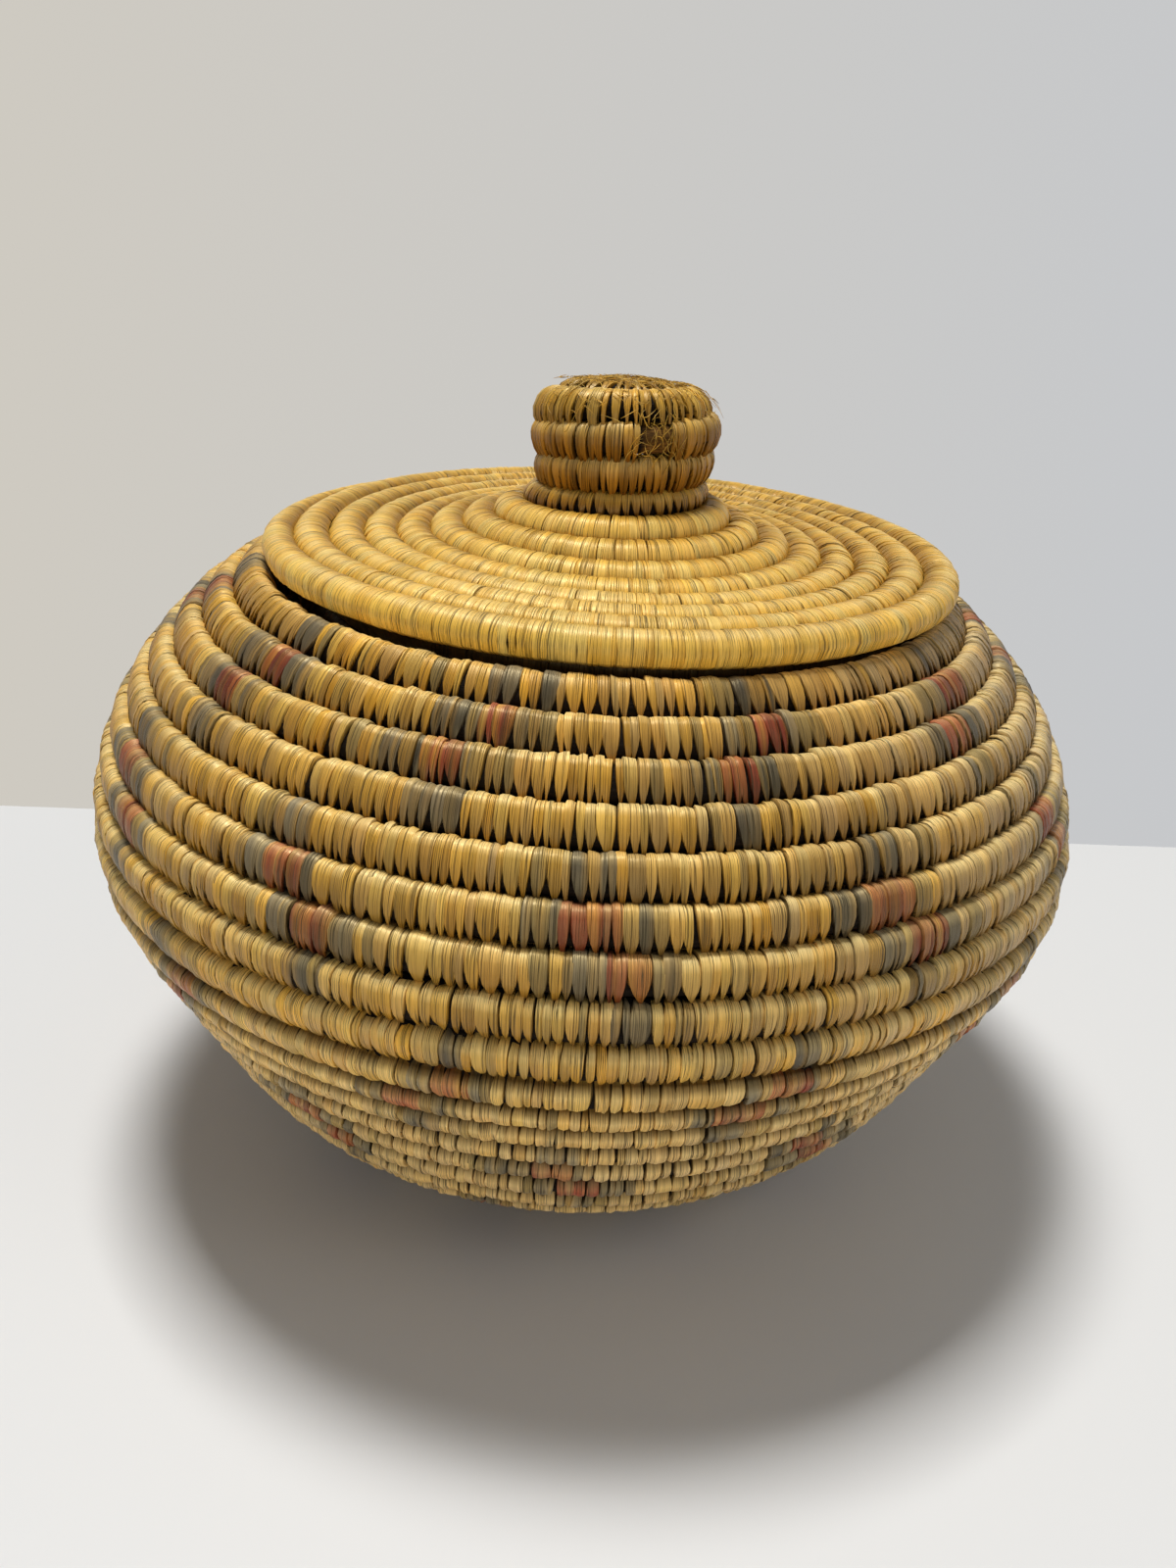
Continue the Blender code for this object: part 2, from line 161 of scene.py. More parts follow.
# Powers that round the path off: out and along, low down, and what along has over out
LOW_OUT_POWER = 1.1
LOW_ALONG_POWER = 0.9
ALONG_OVER_OUT = 0.17

# Across a stitch: its points in half widths, how high they rise in puffs, and the two ridges
ACROSS = np.array([-1.0, -0.80, 0.0, 0.80, 1.0])
RISE = np.array([-5.0, 0.3, 1.1, 0.3, -5.0])
RIDGES = (1, 3)

# Width along a stitch, by the share of its path: grown, then narrowing from here to there
GROWN_AT = 0.45
NARROW_FROM = 0.46
FLIPPED_NARROW_FROM = 0.24
NARROW_TO = 0.94
NARROW_INSIDE = 0.4
FLIPPED_TIP = 0.3
TIP_BY_SIDE = 0.12

# Random values for each stitch: spread, lowest and highest
TIP_VARIES = (0.12, 0.08, 0.95)
POINT_POWER, POINT_VARIES = 2.1, (0.4, 1.3, 3.2)
START_VARIES = (0.10, 0.35, 0.95)
# Spread and limits of the painted highlight on each stitch's crest
HIGHLIGHT_VARIES = (0.3, 0.2, 1.4)
HEIGHT_SPREAD, HEIGHT_LIMITS = 0.045, (-0.10, 0.08)

# Slant and bow of a stitch to one side in millimetres, with their spread, and the share of the
# path at which a slanting stitch crosses its own middle
SLANT, SLANT_SPREAD = 0.75, 0.33
BOW, BOW_SPREAD = 0.22, 0.22
SLANT_CROSSES_AT = 0.3

# Roll of the strip to one side, its twist about a place on the path, the facets of its crown,
# the spread of its puff and its size, and creases
ROLL, ROLL_SPREAD = 0.02, 0.024
TWIST_SPREAD, TWIST_AT = 0.02, 0.4
FACET_SPREAD = 0.5
PUFF_SPREAD = 0.2
SIZE_SPREAD = 0.014
CREASED = 0.16
CREASE_PLACE = (0.2, 0.55)
CREASE_SIZE = (0.02, 0.05)
CREASE_LENGTH = 0.22

# Shading down a stitch: how dark it gets, from which share of the path and over what share
CREST_SHADE = 1.08
FALL_SHADE, FALL_LENGTH = 0.46, 0.42
TIP_SHADE, TIP_FROM, TIP_LENGTH = 0.18, 0.62, 0.3
INSIDE_SHARE = 0.35
# The same on rows that face down, which are lit from below and get painted shade on top, and
# the slopes in degrees between which a row counts as facing down
LOW_CREST_SHADE = 1.05
LOW_TIP_SHADE, LOW_TIP_FROM, LOW_TIP_LENGTH = 0.5, 0.72, 0.2
TOP_SHADE, TOP_SHADE_FROM, TOP_SHADE_LENGTH = 0.8, 0.14, 0.26
FACING_SLOPE, FACING_SPAN = 88.0, 20.0

# Brightness of straw and of dyed stitches, and how much of a dye has faded
LIGHT, LIGHT_SPREAD, LIGHT_LIMITS = 0.02, 0.15, (0.65, 1.4)
DYE_LIGHT_SPREAD = 0.13
FADED, FADED_SPREAD, FADED_MOST = 0.12, 0.24, 0.75
# Painted highlight on a strip's two ridges, and a little painted shade in its middle
RIDGE_LIGHT, MIDDLE_LIGHT = 1.05, 0.98

# Painted highlight on the crest: its length on the path and its share on dyed and brown
# stitches. Warmth is the power of the painted shade in red, green and blue, and no colour gets
# brighter than the last value.
HIGHLIGHT_LENGTH = 0.17
DYED_HIGHLIGHT, BROWN_HIGHLIGHT = 0.35, 0.5
STRAW_WARMTH = (1.0, 1.15, 1.4)
BROWN_WARMTH = (1.0, 1.35, 2.0)
BRIGHTEST = 0.95

# Painted cool, grey light on one side of the body, in degrees, and paler, greyer straw on its
# lowest turns
COOL_CAST, COOL_CAST_AZIMUTH, COOL_CAST_SPAN, COOL_CAST_SPREAD = 0.8, -15.0, 45.0, 0.15
PALE_LOW, PALE_LOW_BELOW, PALE_LOW_TURNS, PALE_LOW_SPREAD = 0.6, 19.5, 7.0, 0.1
CHANGE_LIMITS = (0.0, 0.9)

# Each stitch has its own place on the map of the grass's fibres, in millimetres
MAP_SPAN = 400.0
MAP_SKEW = 0.37
BUNDLE_MAP_TURN = 600.0
BUNDLE_MAP_CORNER = 2.0

# Dyed pattern: four rows to a band, ten to twelve motifs round, and where the motifs stand.
# A dyed block's side lies within a random reach of its middle.
BAND_ROWS = 4
BAND_MOTIFS = (11, 12, 11, 11, 11, 10)
BAND_AZIMUTHS = (-36.0, -59.7, -69.0, -59.5, -69.5, -52.0)
BAND_SHIFTS = (-5.5, 4.0, -5.0, 3.5, -4.0, 4.0)
MOST_MOTIFS = 12
MOST_ROWS = 40
PATTERN_ROWS = 20
PATTERN_SEED = 5
DARK_REACH = 3.3 * MM
RED_REACH = 3.7 * MM
EDGE_LEAST = 2.0 * MM
EDGE_MOST = 8.5 * MM
TINT_BEYOND = 5.0 * MM

# Shares of stitches: undyed in a dark block, tinted beside one, tinted and dyed anywhere
UNDYED = 0.16
TINTED_BESIDE = 0.3
TINTED_STRAY = 0.02
DYED_STRAY = 0.008

# The camera as the photograph's perspective gives it, with angles in degrees
CAMERA_PLACE = (-3.13 * MM, -293.66 * MM, 211.45 * MM)
CAMERA_LENS = 31.635
CAMERA_SENSOR = 36.0
CAMERA_PITCH = 24.355
CAMERA_ROLL = 2.394
CAMERA_YAW = 0.798

# The table top ends behind the basket, and the room's wall is warmer on the left
TABLE_EDGE = 0.1375
TABLE_FRONT = -1.2
TABLE_SIDE = 1.2
WALL_LEFT = "#cfcac0"
WALL_RIGHT = "#c6c8cb"
WALL_BLEND = 0.45
WALL_TOP = (0.5, 0.1)
LIT_POINT = (0.0, 0.0, 0.07)

# Linear colours of the table top, of the room's even light and of the gloss on grass
FLOOR = (0.74, 0.735, 0.72)
ROOM = (0.94, 0.97, 1.0)
SHEEN = (1.0, 0.8, 0.42)

# Shades of each kind of grass strip. The first of each is a setting.
PALETTES = {
    "straw": ("#f2b840", "#e6ab36", "#edb444", "#dda132", "#f5c356", "#e8af3c"),
    # The lid's straw is the body's made a little lighter: painted light on the lid's top
    "lid_straw": ("#f8c450", "#f0b944", "#f4c052", "#e9b140", "#facd62", "#f1bc4a"),
    "knob_straw": ("#c6922c", "#b07e22", "#d39e38", "#bc8828"),
    # The locating coil's straw, darkened with painted shade for its place under the lid
    "shaded_flange_straw": ("#7d5a26", "#6f4e20", "#8a6730", "#755424"),
    "dark_dye": ("#675f4f", "#786d58", "#544e46", "#85785e"),
    "red_dye": ("#aa4a32", "#953a2a", "#b86236", "#8d3427"),
    "tinted": ("#a88c52", "#9a824e", "#ba9752", "#b48c4a"),
}
# Pale colour of the painted highlight on the crests
CREST_HIGHLIGHT = "#f8da92"
# Tint of the painted cool light on one side of the body
COOL_CAST_TINT = "#cdb388"
PALE_LOW_STRAW = "#eac68c"
FRAYED = "#6e4d22"
# Near-black where stitches cover the bundle: painted shade over its own brown
SHADED_BUNDLE = "#180f07"


def linear(code):
    """Linear red, green and blue of an sRGB hex colour."""
    parts = np.array([int(code[i:i + 2], 16) for i in (1, 3, 5)]) / 255.0
    return np.where(parts <= 0.04045, parts / 12.92, ((parts + 0.055) / 1.055) ** 2.4)


def opaque(code):
    """The same colour with a full alpha, as colour sockets take it."""
    return (*linear(code), 1.0)


def smooth(share):
    """A share from 0 to 1 with a level start and end."""
    share = np.clip(share, 0.0, 1.0)
    return share * share * (3.0 - 2.0 * share)


def arc(radius, first, last):
    """A bend of an outline: its length and its first and last slope."""
    return radius * math.radians(abs(last - first)), first, last


def trace(outline, distance):
    """Radius, height and slope at a distance along an outline, from the axis outwards.

    An outline is a chain of straights and arcs. Along an arc the slope turns evenly, so radius
    and height are the integrals of its cosine and sine.
    """
    radius = np.zeros_like(distance)
    height = np.zeros_like(distance)
    slope = np.full_like(distance, math.radians(outline[0][1]))
    start = 0.0
    for length, first, last in outline:
        first, last = math.radians(first), math.radians(last)
        part = np.clip(distance - start, 0.0, length)
        bend = (last - first) / length
        now = first + bend * part
        if bend:
            radius += (np.sin(now) - math.sin(first)) / bend
            height += (math.cos(first) - np.cos(now)) / bend
        else:
            radius += part * math.cos(first)
            height += part * math.sin(first)
        slope = np.where(distance > start, now, slope)
        start += length
    return radius, height, slope


def round_axis(radius, azimuth, height):
    """Points at a radius and azimuth round the upright axis."""
    return np.stack([radius * np.cos(azimuth), radius * np.sin(azimuth), height], axis=-1)


class BodyCoil:
    """The coil of the basket, wound clockwise from the middle of the base up to the rim."""

    seen = -1.0
    brown = ()

    def __init__(self):
        self.outline = (
            (BASE_FLAT_RADIUS, 0.0, 0.0),
            arc(FOOT_RADIUS, 0.0, WALL_SLOPE),
            (WALL_LENGTH, WALL_SLOPE, WALL_SLOPE),
            arc(BELLY_RADIUS, WALL_SLOPE, BELLY_SLOPE),
            arc(SHOULDER_RADIUS, BELLY_SLOPE, SHOULDER_SLOPE),
            arc(NECK_RADIUS, SHOULDER_SLOPE, RIM_SLOPE),
        )
        self.end_turn = sum(stretch[0] for stretch in self.outline) / BODY_PITCH

    def azimuth(self, turn):
        return math.radians(RIM_END_AZIMUTH) + 2.0 * math.pi * (self.end_turn - turn)

    def sizes(self, turn):
        """Half width along the wall and half thickness through it."""
        share = end_share(turn, self.end_turn)
        return (BODY_PITCH - ROW_GAP) / 2 * share, BODY_THICKNESS / 2 * share

    def middle(self, turn, ahead=0.0):
        half_width = self.sizes(turn)[0]
        inset = (BODY_PITCH - ROW_GAP) / 2 - half_width
        return trace(self.outline, turn * BODY_PITCH - inset + ahead)

    def place(self, turn, out, along):
        """Points beside the coil, out of the wall and along it, in half sizes of the coil.

        The base is worn flat: what would reach below the floor fades out above it. With height
        the whole body bends slightly to one side, as a handmade basket does.
        """
        half_width, half_thickness = self.sizes(turn)
        radius, height, slope = self.middle(turn, along * half_width * BEND_SHARE)
        radius, height = beside(radius, height, slope, self.seen, out * half_thickness,
                                along * half_width * (1.0 - BEND_SHARE))
        height += BODY_THICKNESS / 2 - BASE_CUT
        wear_and_highlight = WEAR_DEPTH * np.exp(np.minimum(height / WEAR_DEPTH, 1.0) - 1.0)
        height = np.where(height < WEAR_DEPTH, wear_and_highlight, height)
        points = round_axis(np.maximum(radius, CENTRE_RADIUS), self.azimuth(turn), height)
        angle = height / BODY_LEAN_RADIUS
        shift = (height ** 2 - BELLY_HEIGHT ** 2) / (2 * BODY_LEAN_RADIUS)
        bent = points.copy()
        bent[..., 0] = shift + points[..., 0] * np.cos(angle)
        bent[..., 2] = height - points[..., 0] * np.sin(angle)
        return bent


class LidCoil:
    """The coil of the lid, wound clockwise from the knob's top down and out to the edge."""

    seen = 1.0
    brown = (KNOB_BROWN,)

    def __init__(self):
        bends = (
            (KNOB_TOP_RADIUS, KNOB_TOP_SLOPE, KNOB_TOP_SLOPE),
            arc(KNOB_CORNER_RADIUS, KNOB_TOP_SLOPE, KNOB_WALL_SLOPE),
            (KNOB_WALL_LENGTH, KNOB_WALL_SLOPE, KNOB_WALL_SLOPE),
            arc(FLARE_RADIUS, KNOB_WALL_SLOPE, FLARE_SLOPE),
            arc(SKIRT_RADIUS, FLARE_SLOPE, 0.0),
        )
        bent_length = sum(stretch[0] for stretch in bends)
        radius, height, _ = trace(bends, np.array([bent_length]))
        self.level = float(height[0])
        level_length = LID_RADIUS - float(radius[0])
        self.outline = bends + ((level_length, 0.0, 0.0),)
        knob_length = KNOB_TURNS * KNOB_PITCH
        length = bent_length + level_length - knob_length
        self.end_turn = KNOB_TURNS + length / LID_PITCH

    def azimuth(self, turn):
        return math.radians(LID_END_AZIMUTH) + 2.0 * math.pi * (self.end_turn - turn)

    def sizes(self, turn):
        lid = np.clip(turn - KNOB_TURNS, 0.0, 1.0)
        share = end_share(turn, self.end_turn)
        knob_half = (KNOB_PITCH - KNOB_ROW_GAP) / 2
        half_width = knob_half + ((LID_PITCH - ROW_GAP) / 2 - knob_half) * lid
        half_thickness = (KNOB_THICKNESS + (LID_THICKNESS - KNOB_THICKNESS) * lid) / 2
        return half_width * share, half_thickness * share

    def middle(self, turn, ahead=0.0):
        knob = np.minimum(turn, KNOB_TURNS) * KNOB_PITCH
        lid = np.maximum(turn - KNOB_TURNS, 0.0) * LID_PITCH
        inset = (1.0 - end_share(turn, self.end_turn)) * (LID_PITCH - ROW_GAP) / 2
        radius, height, slope = trace(self.outline, knob + lid - inset + ahead)
        return radius, height - self.level, slope

    def place(self, turn, out, along):
        """Points beside the coil. What stands above the lid leans back a little."""
        half_width, half_thickness = self.sizes(turn)
        radius, height, slope = self.middle(turn, along * half_width * BEND_SHARE)
        radius, height = beside(radius, height, slope, self.seen, out * half_thickness,
                                along * half_width * (1.0 - BEND_SHARE))
        points = round_axis(np.maximum(radius, CENTRE_RADIUS), self.azimuth(turn), height)
        above = np.maximum(height - LID_THICKNESS / 2, 0.0)
        angle = above / KNOB_LEAN_RADIUS
        bent = points.copy()
        bent[..., 1] = points[..., 1] * np.cos(angle) + above ** 2 / (2 * KNOB_LEAN_RADIUS)
        bent[..., 2] = height - points[..., 1] * np.sin(angle)
        return onto_rim(bent)


class FlangeCoil:
    """The locating coil under the lid: two level rows with a short step down between them."""

    seen = 1.0
    brown = ()

    def azimuth(self, turn):
        return math.radians(FLANGE_START_AZIMUTH) - 2.0 * math.pi * turn

    def sizes(self, turn):
        share = np.ones_like(turn)
        return (LID_PITCH - ROW_GAP) / 2 * share, FLANGE_THICKNESS / 2 * share

    def middle(self, turn):
        row = np.floor(turn)
        step = smooth((turn - row - 1.0 + FLANGE_STEP_TURNS) / FLANGE_STEP_TURNS)
        top = LID_THICKNESS / 2 + ROW_GAP + (LID_PITCH - ROW_GAP) / 2
        height = -top - (row + step) * LID_PITCH
        return np.full_like(turn, FLANGE_RADIUS), height, np.full_like(turn, -math.pi / 2)

    def place(self, turn, out, along):
        radius, height, slope = self.middle(turn)
        half_width, half_thickness = self.sizes(turn)
        radius, height = beside(radius, height, slope, self.seen, out * half_thickness,
                                along * half_width)
        return onto_rim(round_axis(radius, self.azimuth(turn), height))


def end_share(turn, end_turn):
    """Size of a coil as a share, less than 1 where it is thinned out to its end."""
    left = np.clip((end_turn - turn) / END_TAPER_TURNS, 0.0, 1.0)
    return END_TAPER_SHARE + (1.0 - END_TAPER_SHARE) * left


def beside(radius, height, slope, seen, out, along):
    """Radius and height of a point off the middle, out of the wall's seen side and along it."""
    return (radius + along * np.cos(slope) - seen * out * np.sin(slope),
            height + along * np.sin(slope) + seen * out * np.cos(slope))


def onto_rim(points):
    """Lid points carried onto the rim, with the lid's small tilts."""
    right, back = math.radians(LID_TILT_RIGHT), math.radians(LID_TILT_BACK)
    turn_right = np.array([[math.cos(right), 0.0, math.sin(right)],
                           [0.0, 1.0, 0.0],
                           [-math.sin(right), 0.0, math.cos(right)]])
    turn_back = np.array([[1.0, 0.0, 0.0],
                          [0.0, math.cos(back), math.sin(back)],
                          [0.0, -math.sin(back), math.cos(back)]])
    return points @ (turn_right @ turn_back).T + np.array(LID_PLACE)


def stitch_row(coil, first, last, spacing, rng):
    """Turn and width of every stitch between two turns of a coil.

    Widths vary at random round the spacing, and are scaled to fill the length exactly.
    """
    turns = np.linspace(first, last, ROW_SAMPLES)
    reach = 2.0 * math.pi * np.maximum(coil.middle(turns)[0], LEAST_RADIUS)
    steps = (reach[1:] + reach[:-1]) / 2 * np.diff(turns)
    run = np.concatenate([[0.0], np.cumsum(steps)])
    count = max(int(run[-1] / spacing), 3)
    shares = np.clip(rng.lognormal(0.0, WIDTH_SPREAD, count), *WIDTH_LIMITS)
    edges = np.concatenate([[0.0], np.cumsum(shares)]) / shares.sum() * run[-1]
    middles = (edges[1:] + edges[:-1]) / 2
    return np.interp(middles, run, turns), np.diff(edges)


def in_stretches(turn, stretches):
    """Whether each turn value lies in one of the stretches."""
    inside = np.zeros(turn.shape, dtype=bool)
    for low, high in stretches:
        inside |= (turn > low) & (turn < high)
    return inside


def azimuth_about(azimuth, middle):
    """Degrees from a middle direction, between -180 and 180."""
    return (np.degrees(azimuth) - middle + 180.0) % 360.0 - 180.0


def mix_palette(name, picks, light):
    """A colour for each stitch: its pick from a palette, made lighter or darker.

    All shades of the palette change in the ratio in which the setting changes the first.
    """
    palette = np.array([linear(code) for code in PALETTES[name]])
    palette = palette * (np.array(getattr(bpy.context.scene.colour_settings, name)) / palette[0])
    return palette[picks % len(palette)] * light[:, None]


def dyed(coil, turn, colours, rng):
    """Colours with the stepped pattern laid over the plain straw.

    Rows are counted from the rim. In a band of four rows each motif is a dark block, then two
    red blocks with dark sides, then a dark block, and the lower two are shifted along. Some
    stitches beside a dark block are tinted, and a few anywhere are tinted or dark.
    """
    rows = np.floor(coil.end_turn - turn).astype(int)
    band = (rows // BAND_ROWS) % len(BAND_AZIMUTHS)
    step = rows % BAND_ROWS
    centre = np.array(BAND_AZIMUTHS)[band] + np.where(step >= 2, np.array(BAND_SHIFTS)[band], 0.0)
    spacing = 360.0 / np.array(BAND_MOTIFS)[band]
    azimuth = np.degrees(coil.azimuth(turn)) - centre
    motif = np.round(azimuth / spacing).astype(int)
    offset = np.radians(azimuth - motif * spacing) * coil.middle(turn)[0]
    block = (rows * MOST_MOTIFS + motif % MOST_MOTIFS) * 2 + (offset > 0)
    blocks = 2 * MOST_MOTIFS * MOST_ROWS
    sides = np.random.default_rng(PATTERN_SEED).random((2, blocks))
    red_reach = RED_REACH * (0.75 + 0.5 * sides[0, block])
    edge = EDGE_LEAST + (EDGE_MOST - EDGE_LEAST) * sides[1, block]
    offset = np.abs(offset)
    wide = (step == 1) | (step == 2)
    used = rows < PATTERN_ROWS
    light = rng.lognormal(0.0, DYE_LIGHT_SPREAD, len(turn))
    picks = rng.integers(0, 4, len(turn))
    stray = rng.random(len(turn))
    reach = np.where(wide, red_reach + edge, DARK_REACH * (0.7 + 0.6 * sides[0, block]))
    red = used & wide & (offset <= red_reach)
    dark = used & ~red & (offset < reach) & (stray > UNDYED)
    beside = (offset < reach + TINT_BEYOND) & (stray < TINTED_BESIDE)
    tinted = used & ~dark & ~red & (beside | (stray < TINTED_STRAY))
    dark |= used & (stray > 1.0 - DYED_STRAY)
    for chosen, name in ((tinted, "tinted"), (dark, "dark_dye"), (red, "red_dye")):
        colours = np.where(chosen[:, None], mix_palette(name, picks, light), colours)
    return colours


@dataclass
class Look:
    """How the stitches of a piece are worked. Sizes are shares of the row unless it says more."""

    spacing: float
    straw: str = "straw"
    # Width over spacing, and width at the crest and at the tip over the full width
    wide: float = 1.28
    start: float = 0.86
    tip: float = 0.22
    # How far the path reaches up and down, how square it is, and how far its lower half tucks in
    crest: float = 1.1
    reach: float = 1.36
    square: float = 0.6
    tuck: float = 0.17
    # Crown of the strip, size of all random differences, and slant with the side it stands on
    puff: float = 0.03
    uneven: float = 1.0
    follow: float = 0.0
    # Painted shade at the strip's edges, and the painted highlight on its crest and where
    seam: float = 0.07
    wear_and_highlight: float = 0.5
    highlight_at: float = 0.26
    # Turn up to which the tips point up, and the stretches without stitches
    flip_until: float = 0.0
    bare: tuple = ()


class Stitches:
    """The stitches on one length of coil: points, faces, map and colours as whole arrays.

    Each stitch is a grid of rings along its path and points across its width. Random numbers
    are drawn in the order in which the arrays are made, so a seed always gives the same ones.
    """

    def __init__(self, coil, first, last, look, seed):
        self.coil = coil
        self.look = look
        self.rng = np.random.default_rng(seed)
        turn, width = stitch_row(coil, first, last, look.spacing, self.rng)
        covered = ~in_stretches(turn, look.bare)
        self.turn = turn[covered]
        self.width = width[covered]
        self.count = len(self.turn)
        self.left = -np.cos(coil.azimuth(self.turn)) * look.follow
        self.flipped = self.turn < look.flip_until
        inner = np.radians(np.linspace(INNER_END, 0.0, INNER_RINGS))[:-1]
        outer = np.radians(np.linspace(0.0, OUTER_END, OUTER_RINGS))
        self.path = np.concatenate([inner, outer])
        self.share = np.where(self.path < 0, self.path / inner[0], self.path / outer[-1])
        self.offset = self.half_widths()[:, :, None] * ACROSS + self.sideways()[:, :, None]
        self.points = self.placed(self.swell())
        self.faces = self.quads()
        self.map = self.flat()
        self.colours = self.painted()

    def vary(self, middle, spread, low=-9.0, high=9.0):
        """A random value for each stitch round a middle, kept between two limits."""
        return np.clip(middle + self.rng.normal(0.0, spread, self.count), low, high)

    def each(self, spread, low=-9.0, high=9.0):
        """A random value round zero for each stitch, for all points of its grid."""
        return self.vary(0.0, spread, low, high)[:, None, None]

    def half_widths(self):
        """Half the width of each stitch at each ring.

        The width grows from the crest by a power of the share of the path, and then narrows to
        the tip by another power. On the inside it only narrows a little.
        """
        look, share = self.look, self.share
        tip = np.where(self.flipped, FLIPPED_TIP, look.tip) - TIP_BY_SIDE * self.left
        tip = self.vary(tip, *TIP_VARIES)[:, None]
        point = self.vary(POINT_POWER, *POINT_VARIES)[:, None]
        start = self.vary(look.start, *START_VARIES)[:, None]
        grow = 1.0 - (1.0 - start) * (1.0 - np.clip(share / GROWN_AT, 0.0, 1.0)) ** 1.7
        begin = np.where(self.flipped, FLIPPED_NARROW_FROM, NARROW_FROM)[:, None]
        fall = np.clip((share - begin) / (NARROW_TO - begin), 0.0, 1.0) ** point
        inside = grow - NARROW_INSIDE * share ** 5
        outside = grow - (1.0 - tip) * fall
        return self.width[:, None] * 0.5 * look.wide * np.where(self.path < 0, inside, outside)

    def sideways(self):
        """How far each ring lies to one side: a straight slant plus a bow, which is a parabola."""
        share, uneven = self.share, self.look.uneven
        slant = (SLANT * self.left + self.vary(0.0, SLANT_SPREAD) * uneven)[:, None] * MM
        bow = (BOW + self.vary(0.0, BOW_SPREAD) * uneven)[:, None] * MM
        slide = slant * (share - SLANT_CROSSES_AT) + bow * 4.0 * share * (1.0 - share)
        return np.where(self.path < 0, -SLANT_CROSSES_AT * slant, slide)

    def swell(self):
        """How far each point stands off the path, as a share of the loop.

        Across, the strip is crowned and its two edges sink into the bundle. The strip also
        rolls to one side, and some have a crease across them.
        """
        look, rng, share = self.look, self.rng, self.share[:, None]
        uneven = look.uneven
        roll = ROLL * uneven + self.each(ROLL_SPREAD * uneven)
        roll = roll + self.each(TWIST_SPREAD * uneven) * (share - TWIST_AT)
        facets = rng.normal(0.0, FACET_SPREAD, (self.count, 1, len(ACROSS)))
        rise = RISE * (1.0 + self.each(PUFF_SPREAD)) + np.clip(facets, -1.0, 1.0) * (RISE > 0)
        swell = look.puff * rise + roll * ACROSS + self.each(SIZE_SPREAD * uneven)
        crease_at = rng.uniform(*CREASE_PLACE, self.count)[:, None, None]
        creased = rng.random(self.count) < CREASED * uneven
        crease = (creased * rng.uniform(*CREASE_SIZE, self.count))[:, None, None]
        near = np.clip(1.0 - np.abs(share - crease_at) / CREASE_LENGTH, 0.0, 1.0)
        return swell + crease * near * (self.path > 0)[:, None]

    def placed(self, swell):
        """The grids' points round the coil.

        The path is a rounded loop: the sine of its angle to a power is its place out of the
        wall, and the cosine to a power its place along the wall, where it reaches further down
        than up. Flipped stitches reach further up.
        """
        look, sine, cosine = self.look, np.sin(self.path), np.cos(self.path)
        low_down = smooth(-cosine * 3.0)
        power = look.square + (LOW_OUT_POWER - look.square) * low_down
        out = np.sign(sine) * np.abs(sine) ** power
        power = look.square + ALONG_OVER_OUT
        power = power + (LOW_ALONG_POWER - power) * low_down
        low = look.crest + (look.reach - look.crest) * smooth(-cosine * 2.0)
        along = np.sign(cosine) * np.abs(cosine) ** power * np.where(cosine > 0, look.crest, low)
        out = out * (1.0 + look.tuck * np.clip(along, -1.0, 0.6))
        lift = self.each(HEIGHT_SPREAD * look.uneven, *HEIGHT_LIMITS)
        higher = 1.0 + lift * (cosine > 0)[:, None]
        flip = np.where(self.flipped, -1.0, 1.0)[:, None, None]
        around = 2.0 * math.pi * np.maximum(self.coil.middle(self.turn)[0], LEAST_RADIUS)
        turns = self.turn[:, None, None] + self.offset / around[:, None, None]
        size = 1.0 + swell
        return self.coil.place(turns, out[:, None] * size, along[:, None] * size * higher * flip)

    def quads(self):
        """Four corners of each face, in the order that turns it outwards."""
        corner = np.arange(self.offset.size).reshape(self.offset.shape)
        quads = np.stack([corner[:, :-1, :-1], corner[:, :-1, 1:],
                          corner[:, 1:, 1:], corner[:, 1:, :-1]], axis=-1)
        inside_out = np.where(self.flipped, -1.0, 1.0) * self.coil.seen > 0
        return np.where(inside_out[:, None, None, None], quads[..., ::-1], quads)

    def flat(self):
        """Map in millimetres: across the strip and along it, each from its own random place."""
        shift = self.rng.uniform(0.0, MAP_SPAN, self.count)[:, None, None]
        thickness = self.coil.sizes(self.turn)[1][:, None, None] / MM
        along = (self.path - self.path[0])[:, None] * thickness
        flat = np.broadcast_arrays(self.offset / MM + shift, along + shift * MAP_SKEW)
        return np.stack(flat, axis=-1)

    def grasses(self):
        """Colour of each stitch without and with the dyed pattern, and whether it is brown.

        On the body one side gets painted cool, grey light, and the lowest turns are paler and
        greyer.
        """
        light = self.rng.lognormal(LIGHT, LIGHT_SPREAD * self.look.uneven, self.count)
        light = np.clip(light, *LIGHT_LIMITS)
        picks = self.rng.integers(0, 60, self.count)
        plain = mix_palette(self.look.straw, picks, light)
        brown = in_stretches(self.turn + self.vary(0.0, BROWN_SPREAD), self.coil.brown)
        plain = np.where(brown[:, None], mix_palette("knob_straw", picks, light), plain)
        if self.coil.seen > 0:
            return plain, plain, brown
        # Painted cool, grey light on one side of the body, and paler, greyer straw low down
        aside = azimuth_about(self.coil.azimuth(self.turn), COOL_CAST_AZIMUTH)
        cool_cast = COOL_CAST * np.exp(-(aside / COOL_CAST_SPAN) ** 2)
        pale_low = PALE_LOW * smooth((PALE_LOW_BELOW - self.turn) / PALE_LOW_TURNS)
        for share, spread, code in ((cool_cast, COOL_CAST_SPREAD, COOL_CAST_TINT),
                                    (pale_low, PALE_LOW_SPREAD, PALE_LOW_STRAW)):
            share = self.vary(share, spread, *CHANGE_LIMITS)[:, None]
            plain = plain * (1.0 - share) + linear(code) * share
        return plain, dyed(self.coil, self.turn, plain, self.rng), brown

